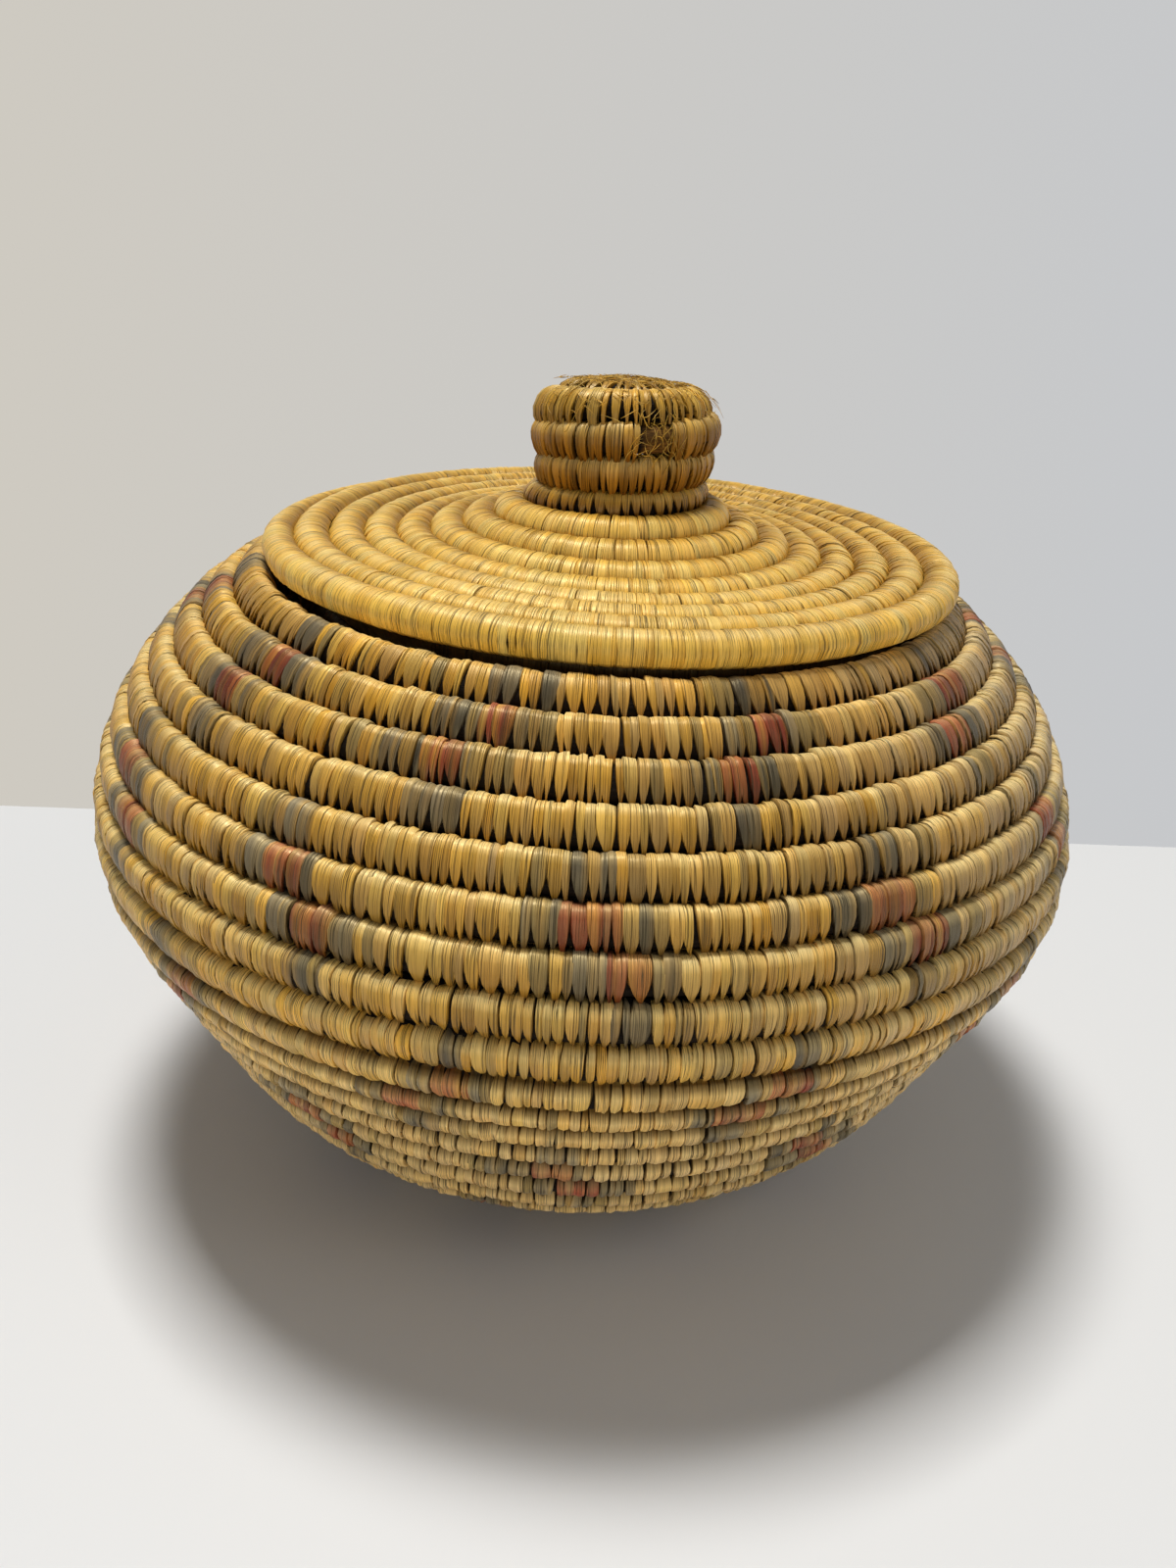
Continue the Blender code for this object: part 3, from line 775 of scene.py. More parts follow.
    def shading(self):
        """Painted shade of each ring: bright at the crest, and darker down to the tip.

        On rows that face down it is the other way round, with painted shade on their tops.
        """
        down = np.where(self.path > 0, self.share, INSIDE_SHARE)
        shade = CREST_SHADE - FALL_SHADE * smooth((down - self.look.highlight_at) / FALL_LENGTH)
        shade = shade - TIP_SHADE * smooth((down - TIP_FROM) / TIP_LENGTH)
        slope = np.degrees(self.coil.middle(self.turn)[2])
        facing_down = np.clip((FACING_SLOPE - slope) / FACING_SPAN, 0.0, 1.0)
        facing_down = (facing_down * (self.coil.seen < 0))[:, None]
        # Painted shade on the tops of rows that face down, under the row above
        shaded_top = 1.0 - smooth((down - TOP_SHADE_FROM) / TOP_SHADE_LENGTH)
        low = LOW_CREST_SHADE - LOW_TIP_SHADE * smooth((down - LOW_TIP_FROM) / LOW_TIP_LENGTH)
        shade = shade * (1.0 - facing_down) + low * facing_down
        return shade * (1.0 - TOP_SHADE * facing_down * shaded_top)

    def painted(self):
        """Colour of each point: dye faded in streaks, then a painted highlight, then painted
        shade.

        Shading takes more from green and blue than from red, which keeps the shadows warm. A
        colour that would get too bright is scaled down as a whole, which keeps its hue.
        """
        look, rng = self.look, self.rng
        plain, dye, brown = self.grasses()
        # Painted shade at the edges, where stitches meet, and a painted highlight on the ridges
        across = [look.seam, RIDGE_LIGHT, MIDDLE_LIGHT, RIDGE_LIGHT, look.seam]
        shade = self.shading()[:, :, None] * across
        fade = rng.normal(FADED, FADED_SPREAD, (self.count, 1, len(ACROSS), 1))
        fade = np.clip(fade, 0.0, FADED_MOST)
        colours = dye[:, None, None] * (1.0 - fade) + plain[:, None, None] * fade
        # Painted highlight on the crest, weaker on dyed and brown stitches
        wear_and_highlight = look.wear_and_highlight * np.exp(-((self.share - look.highlight_at) / HIGHLIGHT_LENGTH) ** 2)
        wear_and_highlight = wear_and_highlight * (self.path > 0) * self.vary(1.0, *HIGHLIGHT_VARIES)[:, None]
        keeps = np.where(np.abs(dye - plain).sum(axis=1) > 0.0, DYED_HIGHLIGHT, 1.0)
        keeps = np.where(brown, BROWN_HIGHLIGHT, keeps)
        wear_and_highlight = (wear_and_highlight * keeps[:, None])[:, :, None, None]
        colours = colours * (1.0 - wear_and_highlight) + linear(CREST_HIGHLIGHT) * wear_and_highlight
        warmth = np.where(brown[:, None, None, None], BROWN_WARMTH, STRAW_WARMTH)
        colours = colours * shade[..., None] ** warmth
        return colours / np.maximum(colours.max(axis=-1, keepdims=True) / BRIGHTEST, 1.0)


def bundle_mesh(coil, first, last, bare):
    """Points, faces, end faces, map and colours of the grass bundle inside: a flattened tube.

    It is near-black with painted shade where stitches cover it, and its own paler brown where it
    lies bare. In the wall below the shoulder it is wide enough to touch the next row, so no light
    comes through.
    """
    slices = max(int((last - first) * SLICES_PER_TURN), LEAST_SLICES)
    turns = np.linspace(first, last, slices + 1)[:, None]
    angle = np.linspace(0.0, 2.0 * math.pi, BUNDLE_CORNERS, endpoint=False)
    out = BUNDLE_OUT * np.sign(np.cos(angle)) * np.abs(np.cos(angle)) ** 0.8
    below_shoulder = (coil.seen < 0) & (turns < BODY_CUTS[3])
    along = np.where(below_shoulder, BUNDLE_WIDE, BUNDLE_NARROW) * np.sin(angle)
    points = coil.place(turns, out, along)
    index = np.arange(along.size).reshape(along.shape)
    after = np.roll(index, -1, axis=1)
    quads = np.stack([index[:-1], after[:-1], after[1:], index[1:]], axis=-1)
    caps = [index[0][::-1], index[-1]]
    if coil.seen > 0:
        quads = quads[..., ::-1]
        caps = [cap[::-1] for cap in caps]
    corners = np.arange(BUNDLE_CORNERS) * BUNDLE_MAP_CORNER
    flat = np.stack(np.broadcast_arrays(turns * BUNDLE_MAP_TURN, corners), axis=-1)
    # Painted shade, near black, where stitches cover the bundle; its own frayed brown where bare
    colours = np.where(in_stretches(turns, bare)[..., None], linear(FRAYED), linear(SHADED_BUNDLE))
    return points, quads, caps, flat, np.broadcast_to(colours, points.shape)


def finish_piece(mesh, flat, colours, body):
    """The mesh as a piece on a body, with the map and colour of every point on it."""
    loops = np.empty(len(mesh.loops), dtype=np.int32)
    mesh.loops.foreach_get("vertex_index", loops)
    layer = mesh.uv_layers.new(name="UVMap")
    layer.data.foreach_set("uv", flat[loops].ravel().astype(np.float32))
    paint = np.ones((len(colours), 4), np.float32)
    paint[:, :3] = colours
    # Colour of each point: its dye, with painted shade and painted highlights in it
    attribute = mesh.color_attributes.new("dye", "FLOAT_COLOR", "POINT")
    attribute.data.foreach_set("color", paint.ravel())
    piece = bpy.data.objects.new(mesh.name, mesh)
    bpy.context.scene.collection.objects.link(piece)
    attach(piece, body)
    return piece


def coil_object(node, coil, first, last, look, seed, body):
    """One named length of coil with its stitches, which stands for the frame's node."""
    stitches = Stitches(coil, first, last, look, seed)
    core, core_quads, caps, core_flat, core_colours = bundle_mesh(coil, first, last, look.bare)
    count = stitches.offset.size
    stitch_faces = stitches.faces.reshape(-1, 4)
    faces = np.concatenate([stitch_faces, core_quads.reshape(-1, 4) + count])
    loops = np.concatenate([faces.ravel()] + [cap + count for cap in caps])
    sizes = np.concatenate([np.full(len(faces), 4), [len(cap) for cap in caps]])
    starts = np.concatenate([[0], np.cumsum(sizes)[:-1]])
    points = np.concatenate([stitches.points.reshape(-1, 3), core.reshape(-1, 3)])
    mesh = bpy.data.meshes.new(node + "_stitched")
    mesh.vertices.add(len(points))
    mesh.vertices.foreach_set("co", points.ravel())
    mesh.loops.add(len(loops))
    mesh.loops.foreach_set("vertex_index", loops.astype(np.int32))
    mesh.polygons.add(len(sizes))
    mesh.polygons.foreach_set("loop_start", starts.astype(np.int32))
    mesh.polygons.foreach_set("use_smooth", np.ones(len(sizes), dtype=bool))
    mesh.materials.append(straw_material())
    mesh.materials.append(bundle_material())
    in_bundle = np.arange(len(sizes)) >= len(stitch_faces)
    mesh.polygons.foreach_set("material_index", in_bundle.astype(np.int32))
    mesh.update(calc_edges=True)
    ends = np.empty(len(mesh.edges) * 2, dtype=np.int32)
    mesh.edges.foreach_get("vertices", ends)
    ends = ends.reshape(-1, 2)
    column = ends % len(ACROSS)
    ridge = (column[:, 0] == column[:, 1]) & np.isin(column[:, 0], RIDGES) & (ends[:, 1] < count)
    sharp = mesh.attributes.new("sharp_edge", "BOOLEAN", "EDGE")
    sharp.data.foreach_set("value", ridge)
    if mesh.validate():
        raise RuntimeError("the mesh of %s was not sound" % node)
    flat = np.concatenate([stitches.map.reshape(-1, 2), core_flat.reshape(-1, 2)])
    colours = np.concatenate([stitches.colours.reshape(-1, 3), core_colours.reshape(-1, 3)])
    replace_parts(finish_piece(mesh, flat, colours, body), node)


def add_node(owner, kind, **settings):
    """A new node of this kind, or the node given, in the node tree of a material or world.

    A setting that starts with set_ is the node's own. Others are inputs, by name or as i0, i1,
    with a value or a socket to link from.
    """
    tree = owner.node_tree
    node = tree.nodes.new(kind) if isinstance(kind, str) else kind
    for key, value in settings.items():
        if key.startswith("set_"):
            setattr(node, key[4:], value)
            continue
        by_number = key[0] == "i" and key[1:].isdigit()
        socket = node.inputs[int(key[1:]) if by_number else key.replace("_", " ")]
        if isinstance(value, bpy.types.NodeSocket):
            tree.links.new(value, socket)
        else:
            socket.default_value = value
    return node


def new_material(name):
    """A material with its shader, the colours of its points and its map in millimetres."""
    material = bpy.data.materials.new(name)
    material.use_nodes = True
    dye = add_node(material, "ShaderNodeAttribute", set_attribute_name="dye")
    flat = add_node(material, "ShaderNodeUVMap", set_uv_map="UVMap")
    shader = material.node_tree.nodes["Principled BSDF"]
    return material, shader, dye.outputs["Color"], flat.outputs["UV"]


def straw_material():
    """Dried grass strip, split and flattened by hand.

    It is satin, with fibres about 0.3 mm wide and 6 mm long, thin dark split lines along the
    strip and faint stains a few centimetres wide. Its sheen is as warm as its colour.
    """
    name = "Dried grass strip"
    if name in bpy.data.materials:
        return bpy.data.materials[name]
    material, shader, dye, flat = new_material(name)
    fine = add_node(material, "ShaderNodeMapping", Vector=flat, Scale=(3.6, 0.16, 1.0))
    fibre = add_node(material, "ShaderNodeTexNoise", Vector=fine.outputs["Vector"],
                     Scale=1.0, Detail=3.0, Roughness=0.6).outputs["Fac"]
    wide = add_node(material, "ShaderNodeMapping", Vector=flat, Scale=(3.1, 0.03, 1.0))
    split = add_node(material, "ShaderNodeTexNoise", Vector=wide.outputs["Vector"],
                     Scale=1.0, Detail=1.0, Roughness=0.4)
    away = add_node(material, "ShaderNodeMath", set_operation="SUBTRACT",
                    i0=split.outputs["Fac"], i1=0.5)
    away = add_node(material, "ShaderNodeMath", set_operation="ABSOLUTE", i0=away.outputs[0])
    line = add_node(material, "ShaderNodeMapRange", Value=away.outputs[0], From_Max=0.04)
    coords = add_node(material, "ShaderNodeTexCoord")
    stain = add_node(material, "ShaderNodeTexNoise", Vector=coords.outputs["Object"],
                     Scale=38.0, Detail=3.0, Roughness=0.55)
    streak = add_node(material, "ShaderNodeMapRange", Value=fibre,
                      From_Min=0.3, From_Max=0.7, To_Min=0.76, To_Max=1.18)
    wear_and_highlight = add_node(material, "ShaderNodeMapRange", Value=stain.outputs["Fac"],
                    From_Min=0.32, From_Max=0.68, To_Min=0.92, To_Max=1.08)
    dark = add_node(material, "ShaderNodeMapRange", Value=line.outputs["Result"], To_Min=0.12)
    tone = add_node(material, "ShaderNodeMath", set_operation="MULTIPLY",
                    i0=streak.outputs["Result"], i1=wear_and_highlight.outputs["Result"])
    tone = add_node(material, "ShaderNodeMath", set_operation="MULTIPLY",
                    i0=tone.outputs[0], i1=dark.outputs["Result"])
    colour = add_node(material, "ShaderNodeVectorMath", set_operation="SCALE",
                      i0=dye, Scale=tone.outputs[0])
    bumps = add_node(material, "ShaderNodeMath", set_operation="MULTIPLY_ADD",
                     i0=line.outputs["Result"], i1=1.1, i2=fibre)
    bump = add_node(material, "ShaderNodeBump", Height=bumps.outputs[0], Strength=0.6,
                    Distance=0.14 * MM)
    gloss = add_node(material, "ShaderNodeMapRange", Value=fibre,
                     From_Min=0.3, From_Max=0.7, To_Min=0.46, To_Max=0.32)
    add_node(material, shader, Base_Color=colour.outputs[0], Normal=bump.outputs["Normal"],
             Roughness=gloss.outputs["Result"], IOR=1.5, Specular_IOR_Level=0.75,
             Specular_Tint=(*SHEEN, 1.0))
    return material


def bundle_material():
    """Foundation grass, gathered dry and left round.

    It is a dark, matt bundle of stalks about half a millimetre thick that run along the coil.
    Where stitches cover it, its near-black is painted shade.
    """
    name = "Grass bundle"
    if name in bpy.data.materials:
        return bpy.data.materials[name]
    material, shader, dye, flat = new_material(name)
    thin = add_node(material, "ShaderNodeMapping", Vector=flat, Scale=(0.12, 1.6, 1.0))
    stalk = add_node(material, "ShaderNodeTexNoise", Vector=thin.outputs["Vector"],
                     Scale=1.0, Detail=2.0).outputs["Fac"]
    tone = add_node(material, "ShaderNodeMapRange", Value=stalk,
                    From_Min=0.3, From_Max=0.7, To_Min=0.35, To_Max=1.5)
    colour = add_node(material, "ShaderNodeVectorMath", set_operation="SCALE",
                      i0=dye, Scale=tone.outputs["Result"])
    bump = add_node(material, "ShaderNodeBump", Height=stalk, Strength=0.8, Distance=0.3 * MM)
    add_node(material, shader, Base_Color=colour.outputs[0], Normal=bump.outputs["Normal"],
             Roughness=0.8, Specular_IOR_Level=0.15)
    return material


def floor_material(colour):
    """Table top, painted matt: plain and pale, so the shadow shows on it."""
    material = bpy.data.materials.new("Matt table top")
    material.use_nodes = True
    add_node(material, material.node_tree.nodes["Principled BSDF"],
             Base_Color=(*colour, 1.0), Roughness=0.6)
    return material


def fibre_lines(coil, starts, reach, rng):
    """Centre lines of loose fibres that lie on a coil.

    Each starts at a turn and a place along the wall, runs on in its own direction, bows to one
    side and lifts off a little towards its end. Reach is the mean length round and along.
    """
    count = len(starts)
    share = np.linspace(0.0, 1.0, FIBRE_STEPS)
    around = 2.0 * math.pi * coil.middle(starts[:, :1])[0]
    length = rng.uniform(0.5, 1.5, (count, 2)) * np.array(reach)
    side = np.where(rng.random((count, 2)) < 0.5, -1.0, 1.0)
    bow = rng.normal(0.0, 0.6, (count, 2)) * MM
    curve = 4.0 * share * (1.0 - share)
    run = (length[:, :1] * side[:, :1] * share + bow[:, :1] * curve) / around
    half_width = coil.sizes(starts[:, :1])[0]
    climb = (length[:, 1:] * side[:, 1:] * share + bow[:, 1:] * curve) / half_width
    lift = np.minimum(rng.gamma(1.6, 0.04, count), 0.14)[:, None] * share ** 1.5
    return coil.place(starts[:, :1] + run, 1.08 + lift, starts[:, 1:] + climb)


def fibre_object(name, lines, rng, body):
    """Loose fibres as thin four-sided tubes that taper to both ends, in one mesh."""
    count, steps = lines.shape[:2]
    ahead = np.gradient(lines, axis=1)
    ahead /= np.linalg.norm(ahead, axis=-1, keepdims=True) + 1e-12
    level = np.cross(ahead, [0.31, 0.17, 0.93])
    level /= np.linalg.norm(level, axis=-1, keepdims=True) + 1e-12
    across = np.cross(ahead, level)
    slim = 0.25 + 0.75 * np.sin(np.linspace(0.12, math.pi - 0.12, steps))
    size = rng.uniform(0.6, 1.4, count)[:, None] * FIBRE_THICKNESS / 2 * slim
    angle = np.linspace(0.0, 2.0 * math.pi, FIBRE_SIDES, endpoint=False)[:, None]
    ring = level[:, :, None] * np.cos(angle) + across[:, :, None] * np.sin(angle)
    points = lines[:, :, None] + ring * size[:, :, None, None]
    index = np.arange(points[..., 0].size).reshape(points.shape[:3])
    after = np.roll(index, -1, axis=2)
    sides = np.stack([index[:, :-1], after[:, :-1], after[:, 1:], index[:, 1:]], axis=-1)
    faces = np.concatenate([sides.reshape(-1, 4), index[:, 0, ::-1], index[:, -1]])
    mesh = bpy.data.meshes.new(name)
    mesh.from_pydata(points.reshape(-1, 3), [], faces)
    mesh.polygons.foreach_set("use_smooth", np.ones(len(faces), dtype=bool))
    mesh.materials.append(straw_material())
    light = np.clip(rng.lognormal(-0.2, 0.2, count), 0.4, 1.0)
    colours = mix_palette("lid_straw", rng.integers(0, 60, count), light)
    colours = np.repeat(np.clip(colours, 0.0, 1.0), steps * FIBRE_SIDES, axis=0)
    round_it = rng.uniform(0.0, MAP_SPAN, count)[:, None, None] + np.arange(FIBRE_SIDES) * 0.1
    flat = np.broadcast_arrays(round_it, np.arange(float(steps))[:, None])
    finish_piece(mesh, np.stack(flat, axis=-1).reshape(-1, 2), colours, body)


def area_light(name, place, size, power):
    """A square soft light that faces the basket's middle."""
    light = bpy.data.lights.new(name, "AREA")
    light.size = size
    light.energy = power
    lamp = bpy.data.objects.new(name, light)
    lamp.location = place
    lamp.rotation_mode = "QUATERNION"
    lamp.rotation_quaternion = (Vector(LIT_POINT) - Vector(place)).to_track_quat("-Z", "Y")
    bpy.context.scene.collection.objects.link(lamp)


def add_camera():
    """The camera at the photograph's angle, with its slight roll."""
    pitch, roll, yaw = (math.radians(a) for a in (CAMERA_PITCH, CAMERA_ROLL, CAMERA_YAW))
    ahead = Vector((math.sin(yaw) * math.cos(pitch), math.cos(yaw) * math.cos(pitch),
                    -math.sin(pitch)))
    level = Vector((math.cos(yaw), -math.sin(yaw), 0.0))
    upright = level.cross(ahead)
    right = level * math.cos(roll) + upright * math.sin(roll)
    up = upright * math.cos(roll) - level * math.sin(roll)
    data = bpy.data.cameras.new("Camera")
    data.lens = CAMERA_LENS
    data.sensor_width = CAMERA_SENSOR
    data.clip_start = 0.01
    camera = bpy.data.objects.new("Camera", data)
    turned = Matrix((right, up, -ahead)).transposed().to_4x4()
    camera.matrix_world = Matrix.Translation(CAMERA_PLACE) @ turned
    bpy.context.scene.collection.objects.link(camera)
    bpy.context.scene.camera = camera


def spacing_setting(where, default):
    """A setting for the mean distance between stitches."""
    return bpy.props.FloatProperty(
        name=where.capitalize() + " stitch spacing", unit="LENGTH", default=default,
        description="Mean distance between stitches on the " + where)


class BasketSettings(bpy.types.PropertyGroup):
    """Sizes of the stitches."""

    body_spacing: spacing_setting("body", 2.05 * MM)
    lid_spacing: spacing_setting("lid", 1.75 * MM)
    knob_spacing: spacing_setting("knob", 1.5 * MM)


def shade_setting(palette, name, description):
    """A colour setting whose default is the first shade of a palette."""
    return bpy.props.FloatVectorProperty(
        name=name, description=description, subtype="COLOR", min=0.0, max=1.0,
        default=linear(PALETTES[palette][0]).tolist())


class ColourSettings(bpy.types.PropertyGroup):
    """Colours of the grass. Each is named after its palette."""

    straw: shade_setting("straw", "Straw", "Plain stitches of the body")
    lid_straw: shade_setting("lid_straw", "Lid straw", "Stitches of the lid and the knob's top")
    knob_straw: shade_setting("knob_straw", "Knob straw", "Brown stitches of the knob's wall")
    # Straw of the locating coil, darkened with painted shade
    shaded_flange_straw: shade_setting("shaded_flange_straw", "Shaded flange straw", "Stitches of the locating coil")
    dark_dye: shade_setting("dark_dye", "Dark dye", "Dark blocks of the pattern")
    red_dye: shade_setting("red_dye", "Red dye", "Red blocks of the pattern")
    tinted: shade_setting("tinted", "Tinted straw", "Stitches that took a little dark dye")


def power_setting(name, description, default):
    """A setting for the power of a light."""
    return bpy.props.FloatProperty(name=name, description=description, default=default,
                                   unit="POWER")


class StageSettings(bpy.types.PropertyGroup):
    """Floor and lights."""

    floor_colour: bpy.props.FloatVectorProperty(
        name="Floor colour", description="Colour of the table top", subtype="COLOR",
        default=FLOOR, min=0.0, max=1.0)
    sky_strength: bpy.props.FloatProperty(
        name="Surrounding light", description="Strength of the even light from all sides",
        default=0.18)
    key_power: power_setting("Key light", "Power of the main soft light", 36.0)
    fill_power: power_setting("Fill light", "Power of the side soft light", 0.8)
    bounce_power: power_setting("Bounce light", "Power of the low light from the front", 1.2)


class BodyOperator:
    """What the operators of all lengths of the body's coil share."""

    bl_options = {"REGISTER", "UNDO"}
    coil, body, spacing, share = BodyCoil, "basket", "body_spacing", 1.0

    def execute(self, context):
        spacing = getattr(context.scene.basket_settings, self.spacing) * self.share
        coil_object(self.node, self.coil(), self.first, self.last,
                    Look(spacing, **self.look), self.seed, self.body)
        return {"FINISHED"}


class LidOperator(BodyOperator):
    """The same for the lid."""

    coil, body, spacing = LidCoil, "lid", "lid_spacing"


# Near the base the stitches are short, blunt and bulging. On the lid they are smooth and full.
LOW_LOOK = {"follow": 0.6, "wide": 1.12, "start": 0.65, "puff": 0.055, "seam": 0.02,
            "square": 0.75, "crest": 1.04, "reach": 1.16}
LID_LOOK = {"straw": "lid_straw", "start": 0.9, "tip": 0.85, "reach": 1.25, "square": 0.9,
            "puff": 0.024, "seam": 0.08, "tuck": 0.0, "highlight_at": 0.45}


class BASKET_OT_base(BodyOperator, bpy.types.Operator):
    """The round base, from the starting whorl to the turn of the foot"""

    bl_idname = "basket.base"
    bl_label = "Base"
    node, seed = "base_coil", 11
    first, last = BODY_CUTS[0], BODY_CUTS[1]
    look = LOW_LOOK


class BASKET_OT_lower_wall(BodyOperator, bpy.types.Operator):
    """The lower wall, which widens upwards"""

    bl_idname = "basket.lower_wall"
    bl_label = "Lower wall"
    node, seed = "lower_wall_coil", 12
    first, last = BODY_CUTS[1], BODY_CUTS[2]
    look = {**LOW_LOOK, "follow": 0.8}


class BASKET_OT_belly(BodyOperator, bpy.types.Operator):
    """The widest rows"""

    bl_idname = "basket.belly"
    bl_label = "Belly"
    node, seed = "belly_coil", 13
    first, last = BODY_CUTS[2], BODY_CUTS[3]
    look = {"follow": 1.0, "wide": 1.2, "start": 0.78, "puff": 0.04, "reach": 1.3,
            "crest": 1.06, "wear_and_highlight": 0.6}


class BASKET_OT_shoulder(BodyOperator, bpy.types.Operator):
    """The rows that draw in over the belly"""

    bl_idname = "basket.shoulder"
    bl_label = "Shoulder"
    node, seed = "shoulder_coil", 14
    first, last = BODY_CUTS[3], BODY_CUTS[4]
    look = {"follow": 1.0, "wear_and_highlight": 0.65}


class BASKET_OT_rim(BodyOperator, bpy.types.Operator):
    """The last rows of the basket, which carry the lid"""

    bl_idname = "basket.rim"
    bl_label = "Rim"
    node, seed = "rim_coil", 15
    first, last = BODY_CUTS[4], BODY_CUTS[5]
    look = {"follow": 1.0, "crest": 1.06, "puff": 0.025, "start": 0.85}


class BASKET_OT_lid_edge(LidOperator, bpy.types.Operator):
    """The outer row of the lid"""

    bl_idname = "basket.lid_edge"
    bl_label = "Lid edge"
    node, share, seed = "lid_edge_coil", 1.1, 16
    first, last = LID_CUTS[3], LID_CUTS[4]
    look = {**LID_LOOK, "reach": 1.2, "uneven": 0.5, "puff": 0.018, "seam": 0.06, "wear_and_highlight": 0.45}


class BASKET_OT_lid_disc(LidOperator, bpy.types.Operator):
    """The flat rows of the lid"""

    bl_idname = "basket.lid_disc"
    bl_label = "Lid disc"
    node, seed = "lid_disc_coil", 17
    first, last = LID_CUTS[2], LID_CUTS[3]
    look = {**LID_LOOK, "uneven": 0.65, "wear_and_highlight": 0.4, "highlight_at": 0.5}


class BASKET_OT_knob_neck(LidOperator, bpy.types.Operator):
    """The rows that spread from the knob to the flat of the lid"""

    bl_idname = "basket.knob_neck"
    bl_label = "Knob neck"
    node, share, seed = "knob_neck_coil", 1.05, 18
    first, last = LID_CUTS[1], LID_CUTS[2]
    look = {**LID_LOOK, "start": 0.85, "tip": 0.8, "uneven": 0.7, "wear_and_highlight": 0.25,
            "flip_until": KNOB_BROWN[1]}


class BASKET_OT_knob(LidOperator, bpy.types.Operator):
    """The knob, with its fatter, browner stitches"""

    bl_idname = "basket.knob"
    bl_label = "Knob"
    node, spacing, seed = "knob_coil", "knob_spacing", 19
    first, last = LID_CUTS[0], LID_CUTS[1]
    look = {"straw": "lid_straw", "crest": 1.2, "reach": 1.75, "square": 0.75, "puff": 0.06,
            "tuck": 0.0, "start": 0.7, "seam": 0.02, "wear_and_highlight": 0.6,
            "flip_until": KNOB_BROWN[1], "bare": KNOB_BARE}


class BASKET_OT_fibres(bpy.types.Operator):
    """Loose fibres on the worn knob: a fuzzy top, and strands across the worn patches"""

    bl_idname = "basket.fibres"
    bl_label = "Loose fibres"
    bl_options = {"REGISTER", "UNDO"}

    def execute(self, context):
        coil = LidCoil()
        rng = np.random.default_rng(31)
        patches = [(KNOB_FUZZY, TOP_FIBRES, TOP_REACH)]
        for low, high in KNOB_BARE:
            patches.append(((low - 0.01, high + 0.01), PATCH_FIBRES, PATCH_REACH))
        lines = []
        for turns, count, reach in patches:
            starts = np.column_stack([rng.uniform(*turns, count),
                                      rng.uniform(-FIBRE_SPREAD, FIBRE_SPREAD, count)])
            lines.append(fibre_lines(coil, starts, reach, rng))
        fibre_object("loose_fibres", np.concatenate(lines), rng, "lid")
        return {"FINISHED"}


class BASKET_OT_flange(LidOperator, bpy.types.Operator):
    """The locating coil under the lid, which drops into the mouth"""

    bl_idname = "basket.flange"
    bl_label = "Lid flange"
    node, coil, share, seed = "lid_flange_coil", FlangeCoil, 1.15, 20
    first, last = 0.0, FLANGE_TURNS
    # Its straw is darkened with painted shade, as it lies under the lid
    look = {"straw": "shaded_flange_straw", "start": 0.9, "tip": 0.7, "reach": 1.2, "square": 0.9,
            "uneven": 0.6, "puff": 0.02, "tuck": 0.0}


def room_light(strength):
    """A soft room: even light on the object, and a pale wall for the camera.

    Gloss shows the wall too, but only near the horizon, so the grass isn't veiled by it.
    """
    world = bpy.data.worlds.new("Soft room")
    world.use_nodes = True
    nodes = world.node_tree.nodes
    room = add_node(world, nodes["Background"], Color=(*ROOM, 1.0), Strength=strength)
    toward = add_node(world, "ShaderNodeTexCoord")
    parts = add_node(world, "ShaderNodeSeparateXYZ", i0=toward.outputs["Generated"])
    across = add_node(world, "ShaderNodeMapRange", Value=parts.outputs["X"],
                      From_Min=-WALL_BLEND, From_Max=WALL_BLEND)
    shade = add_node(world, "ShaderNodeMix", set_data_type="RGBA", A=opaque(WALL_LEFT),
                     B=opaque(WALL_RIGHT), Factor=across.outputs["Result"])
    wall = add_node(world, "ShaderNodeBackground", Color=shade.outputs["Result"])
    near_level = add_node(world, "ShaderNodeMapRange", Value=parts.outputs["Z"],
                          From_Min=WALL_TOP[0], From_Max=WALL_TOP[1])
    rays = add_node(world, "ShaderNodeLightPath")
    reflected = add_node(world, "ShaderNodeMath", set_operation="MULTIPLY",
                         i0=rays.outputs["Is Glossy Ray"], i1=near_level.outputs["Result"])
    seen = add_node(world, "ShaderNodeMath", set_operation="MAXIMUM",
                    i0=rays.outputs["Is Camera Ray"], i1=reflected.outputs[0])
    either = add_node(world, "ShaderNodeMixShader", Fac=seen.outputs[0],
                      i1=room.outputs["Background"], i2=wall.outputs["Background"])
    add_node(world, nodes["World Output"], Surface=either.outputs["Shader"])
    return world


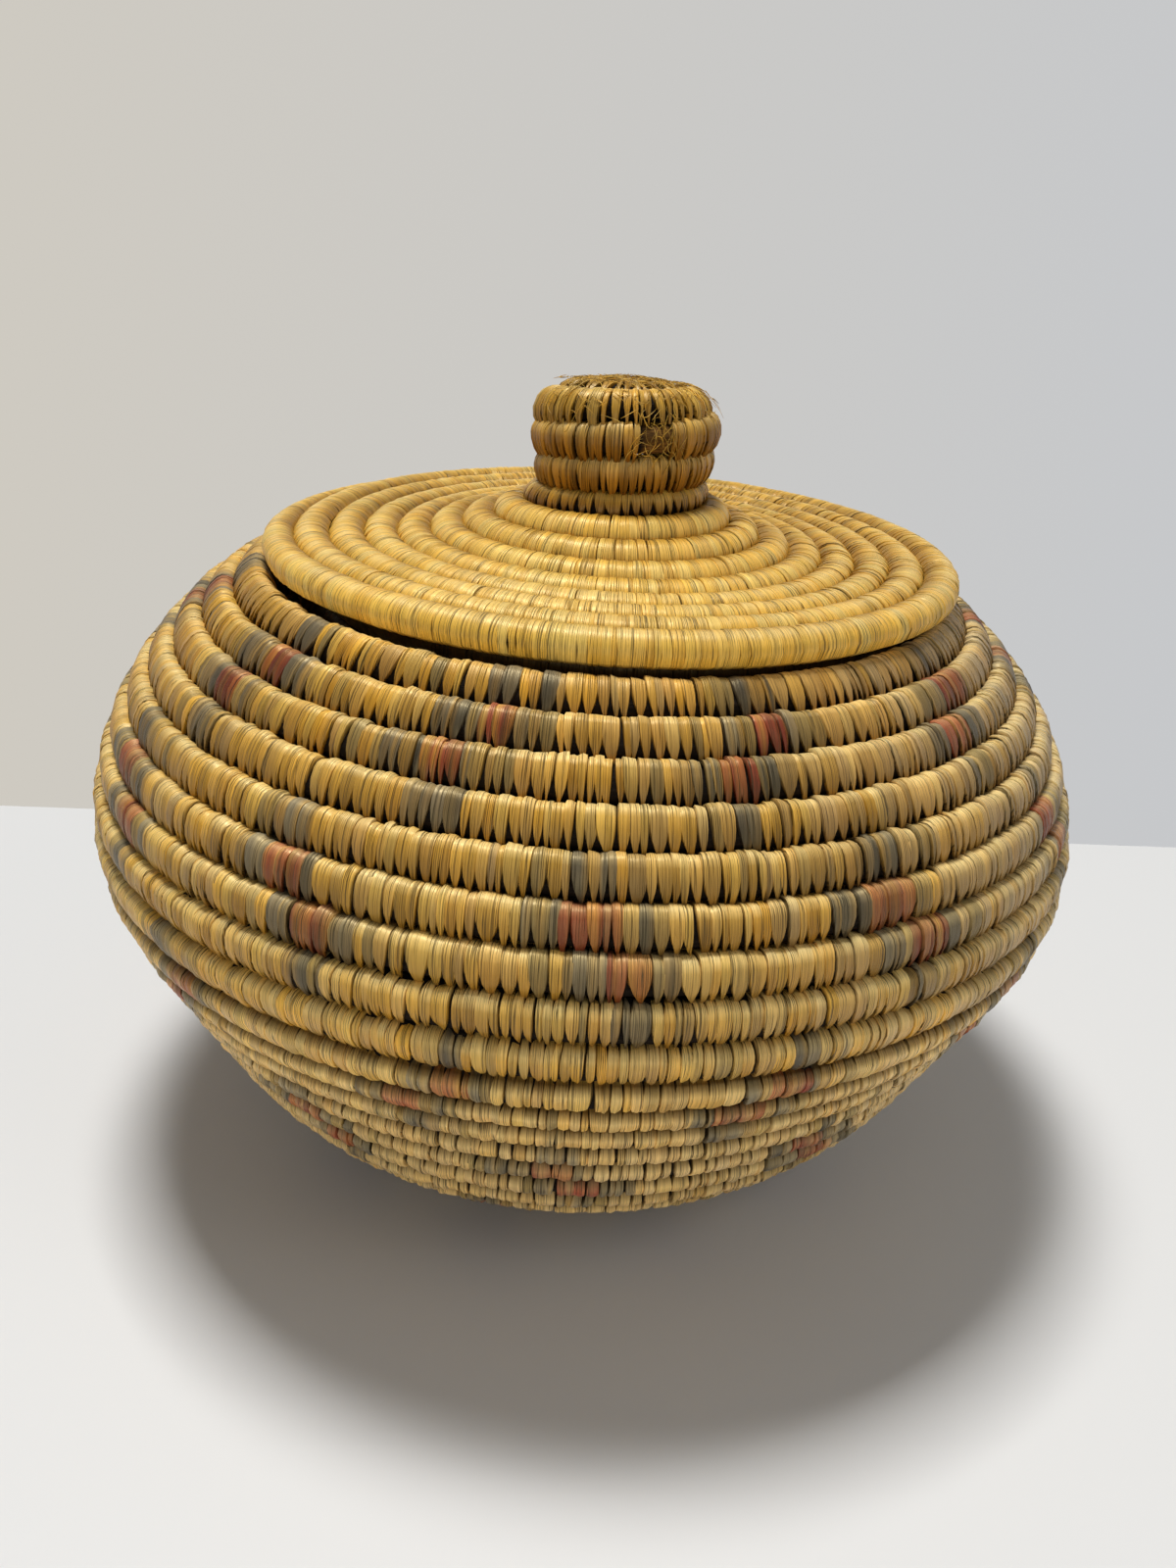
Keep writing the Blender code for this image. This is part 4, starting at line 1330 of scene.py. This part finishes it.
class BASKET_OT_stage(bpy.types.Operator):
    """Table top, lights and camera"""

    bl_idname = "basket.stage"
    bl_label = "Stage"
    bl_options = {"REGISTER", "UNDO"}

    def execute(self, context):
        settings = context.scene.stage_settings
        corners = [(-TABLE_SIDE, TABLE_FRONT, 0.0), (TABLE_SIDE, TABLE_FRONT, 0.0),
                   (TABLE_SIDE, TABLE_EDGE, 0.0), (-TABLE_SIDE, TABLE_EDGE, 0.0)]
        mesh = bpy.data.meshes.new("table_top")
        mesh.from_pydata(corners, [], [(0, 1, 2, 3)])
        mesh.materials.append(floor_material(settings.floor_colour))
        table = bpy.data.objects.new("table_top", mesh)
        context.scene.collection.objects.link(table)
        context.scene.world = room_light(settings.sky_strength)
        area_light("Key light", (-0.20, 0.28, 2.0), 0.50, settings.key_power)
        area_light("Fill light", (0.62, -0.45, 0.70), 0.40, settings.fill_power)
        area_light("Bounce light", (0.0, -0.80, 0.16), 0.50, settings.bounce_power)
        add_camera()
        context.scene.view_settings.view_transform = "Standard"
        return {"FINISHED"}


class BASKET_PT_panel(bpy.types.Panel):
    """Sidebar panel with the sizes and one button for each piece"""

    bl_idname = "BASKET_PT_panel"
    bl_label = "Basket"
    bl_space_type = "VIEW_3D"
    bl_region_type = "UI"
    bl_category = "Basket"

    def draw(self, context):
        layout = self.layout
        scene = context.scene
        for group in (scene.basket_settings, scene.colour_settings, scene.stage_settings):
            for name in group.__annotations__:
                layout.prop(group, name)
        for operator in OPERATORS:
            layout.operator(operator.bl_idname)


OPERATORS = (
    BASKET_OT_base,
    BASKET_OT_lower_wall,
    BASKET_OT_belly,
    BASKET_OT_shoulder,
    BASKET_OT_rim,
    BASKET_OT_flange,
    BASKET_OT_lid_edge,
    BASKET_OT_lid_disc,
    BASKET_OT_knob_neck,
    BASKET_OT_knob,
    BASKET_OT_fibres,
    BASKET_OT_stage,
)
GROUPS = (BasketSettings, ColourSettings, StageSettings)


def register():
    for kind in GROUPS + OPERATORS + (BASKET_PT_panel,):
        bpy.utils.register_class(kind)
    bpy.types.Scene.basket_settings = bpy.props.PointerProperty(type=BasketSettings)
    bpy.types.Scene.colour_settings = bpy.props.PointerProperty(type=ColourSettings)
    bpy.types.Scene.stage_settings = bpy.props.PointerProperty(type=StageSettings)


def unregister():
    del bpy.types.Scene.stage_settings
    del bpy.types.Scene.colour_settings
    del bpy.types.Scene.basket_settings
    for kind in reversed(GROUPS + OPERATORS + (BASKET_PT_panel,)):
        bpy.utils.unregister_class(kind)


def main():
    """Make every piece, then the stage."""
    register()
    bpy.ops.basket.base()
    bpy.ops.basket.lower_wall()
    bpy.ops.basket.belly()
    bpy.ops.basket.shoulder()
    bpy.ops.basket.rim()
    bpy.ops.basket.flange()
    bpy.ops.basket.lid_edge()
    bpy.ops.basket.lid_disc()
    bpy.ops.basket.knob_neck()
    bpy.ops.basket.knob()
    bpy.ops.basket.fibres()
    bpy.ops.basket.stage()


if __name__ == "__main__":
    main()
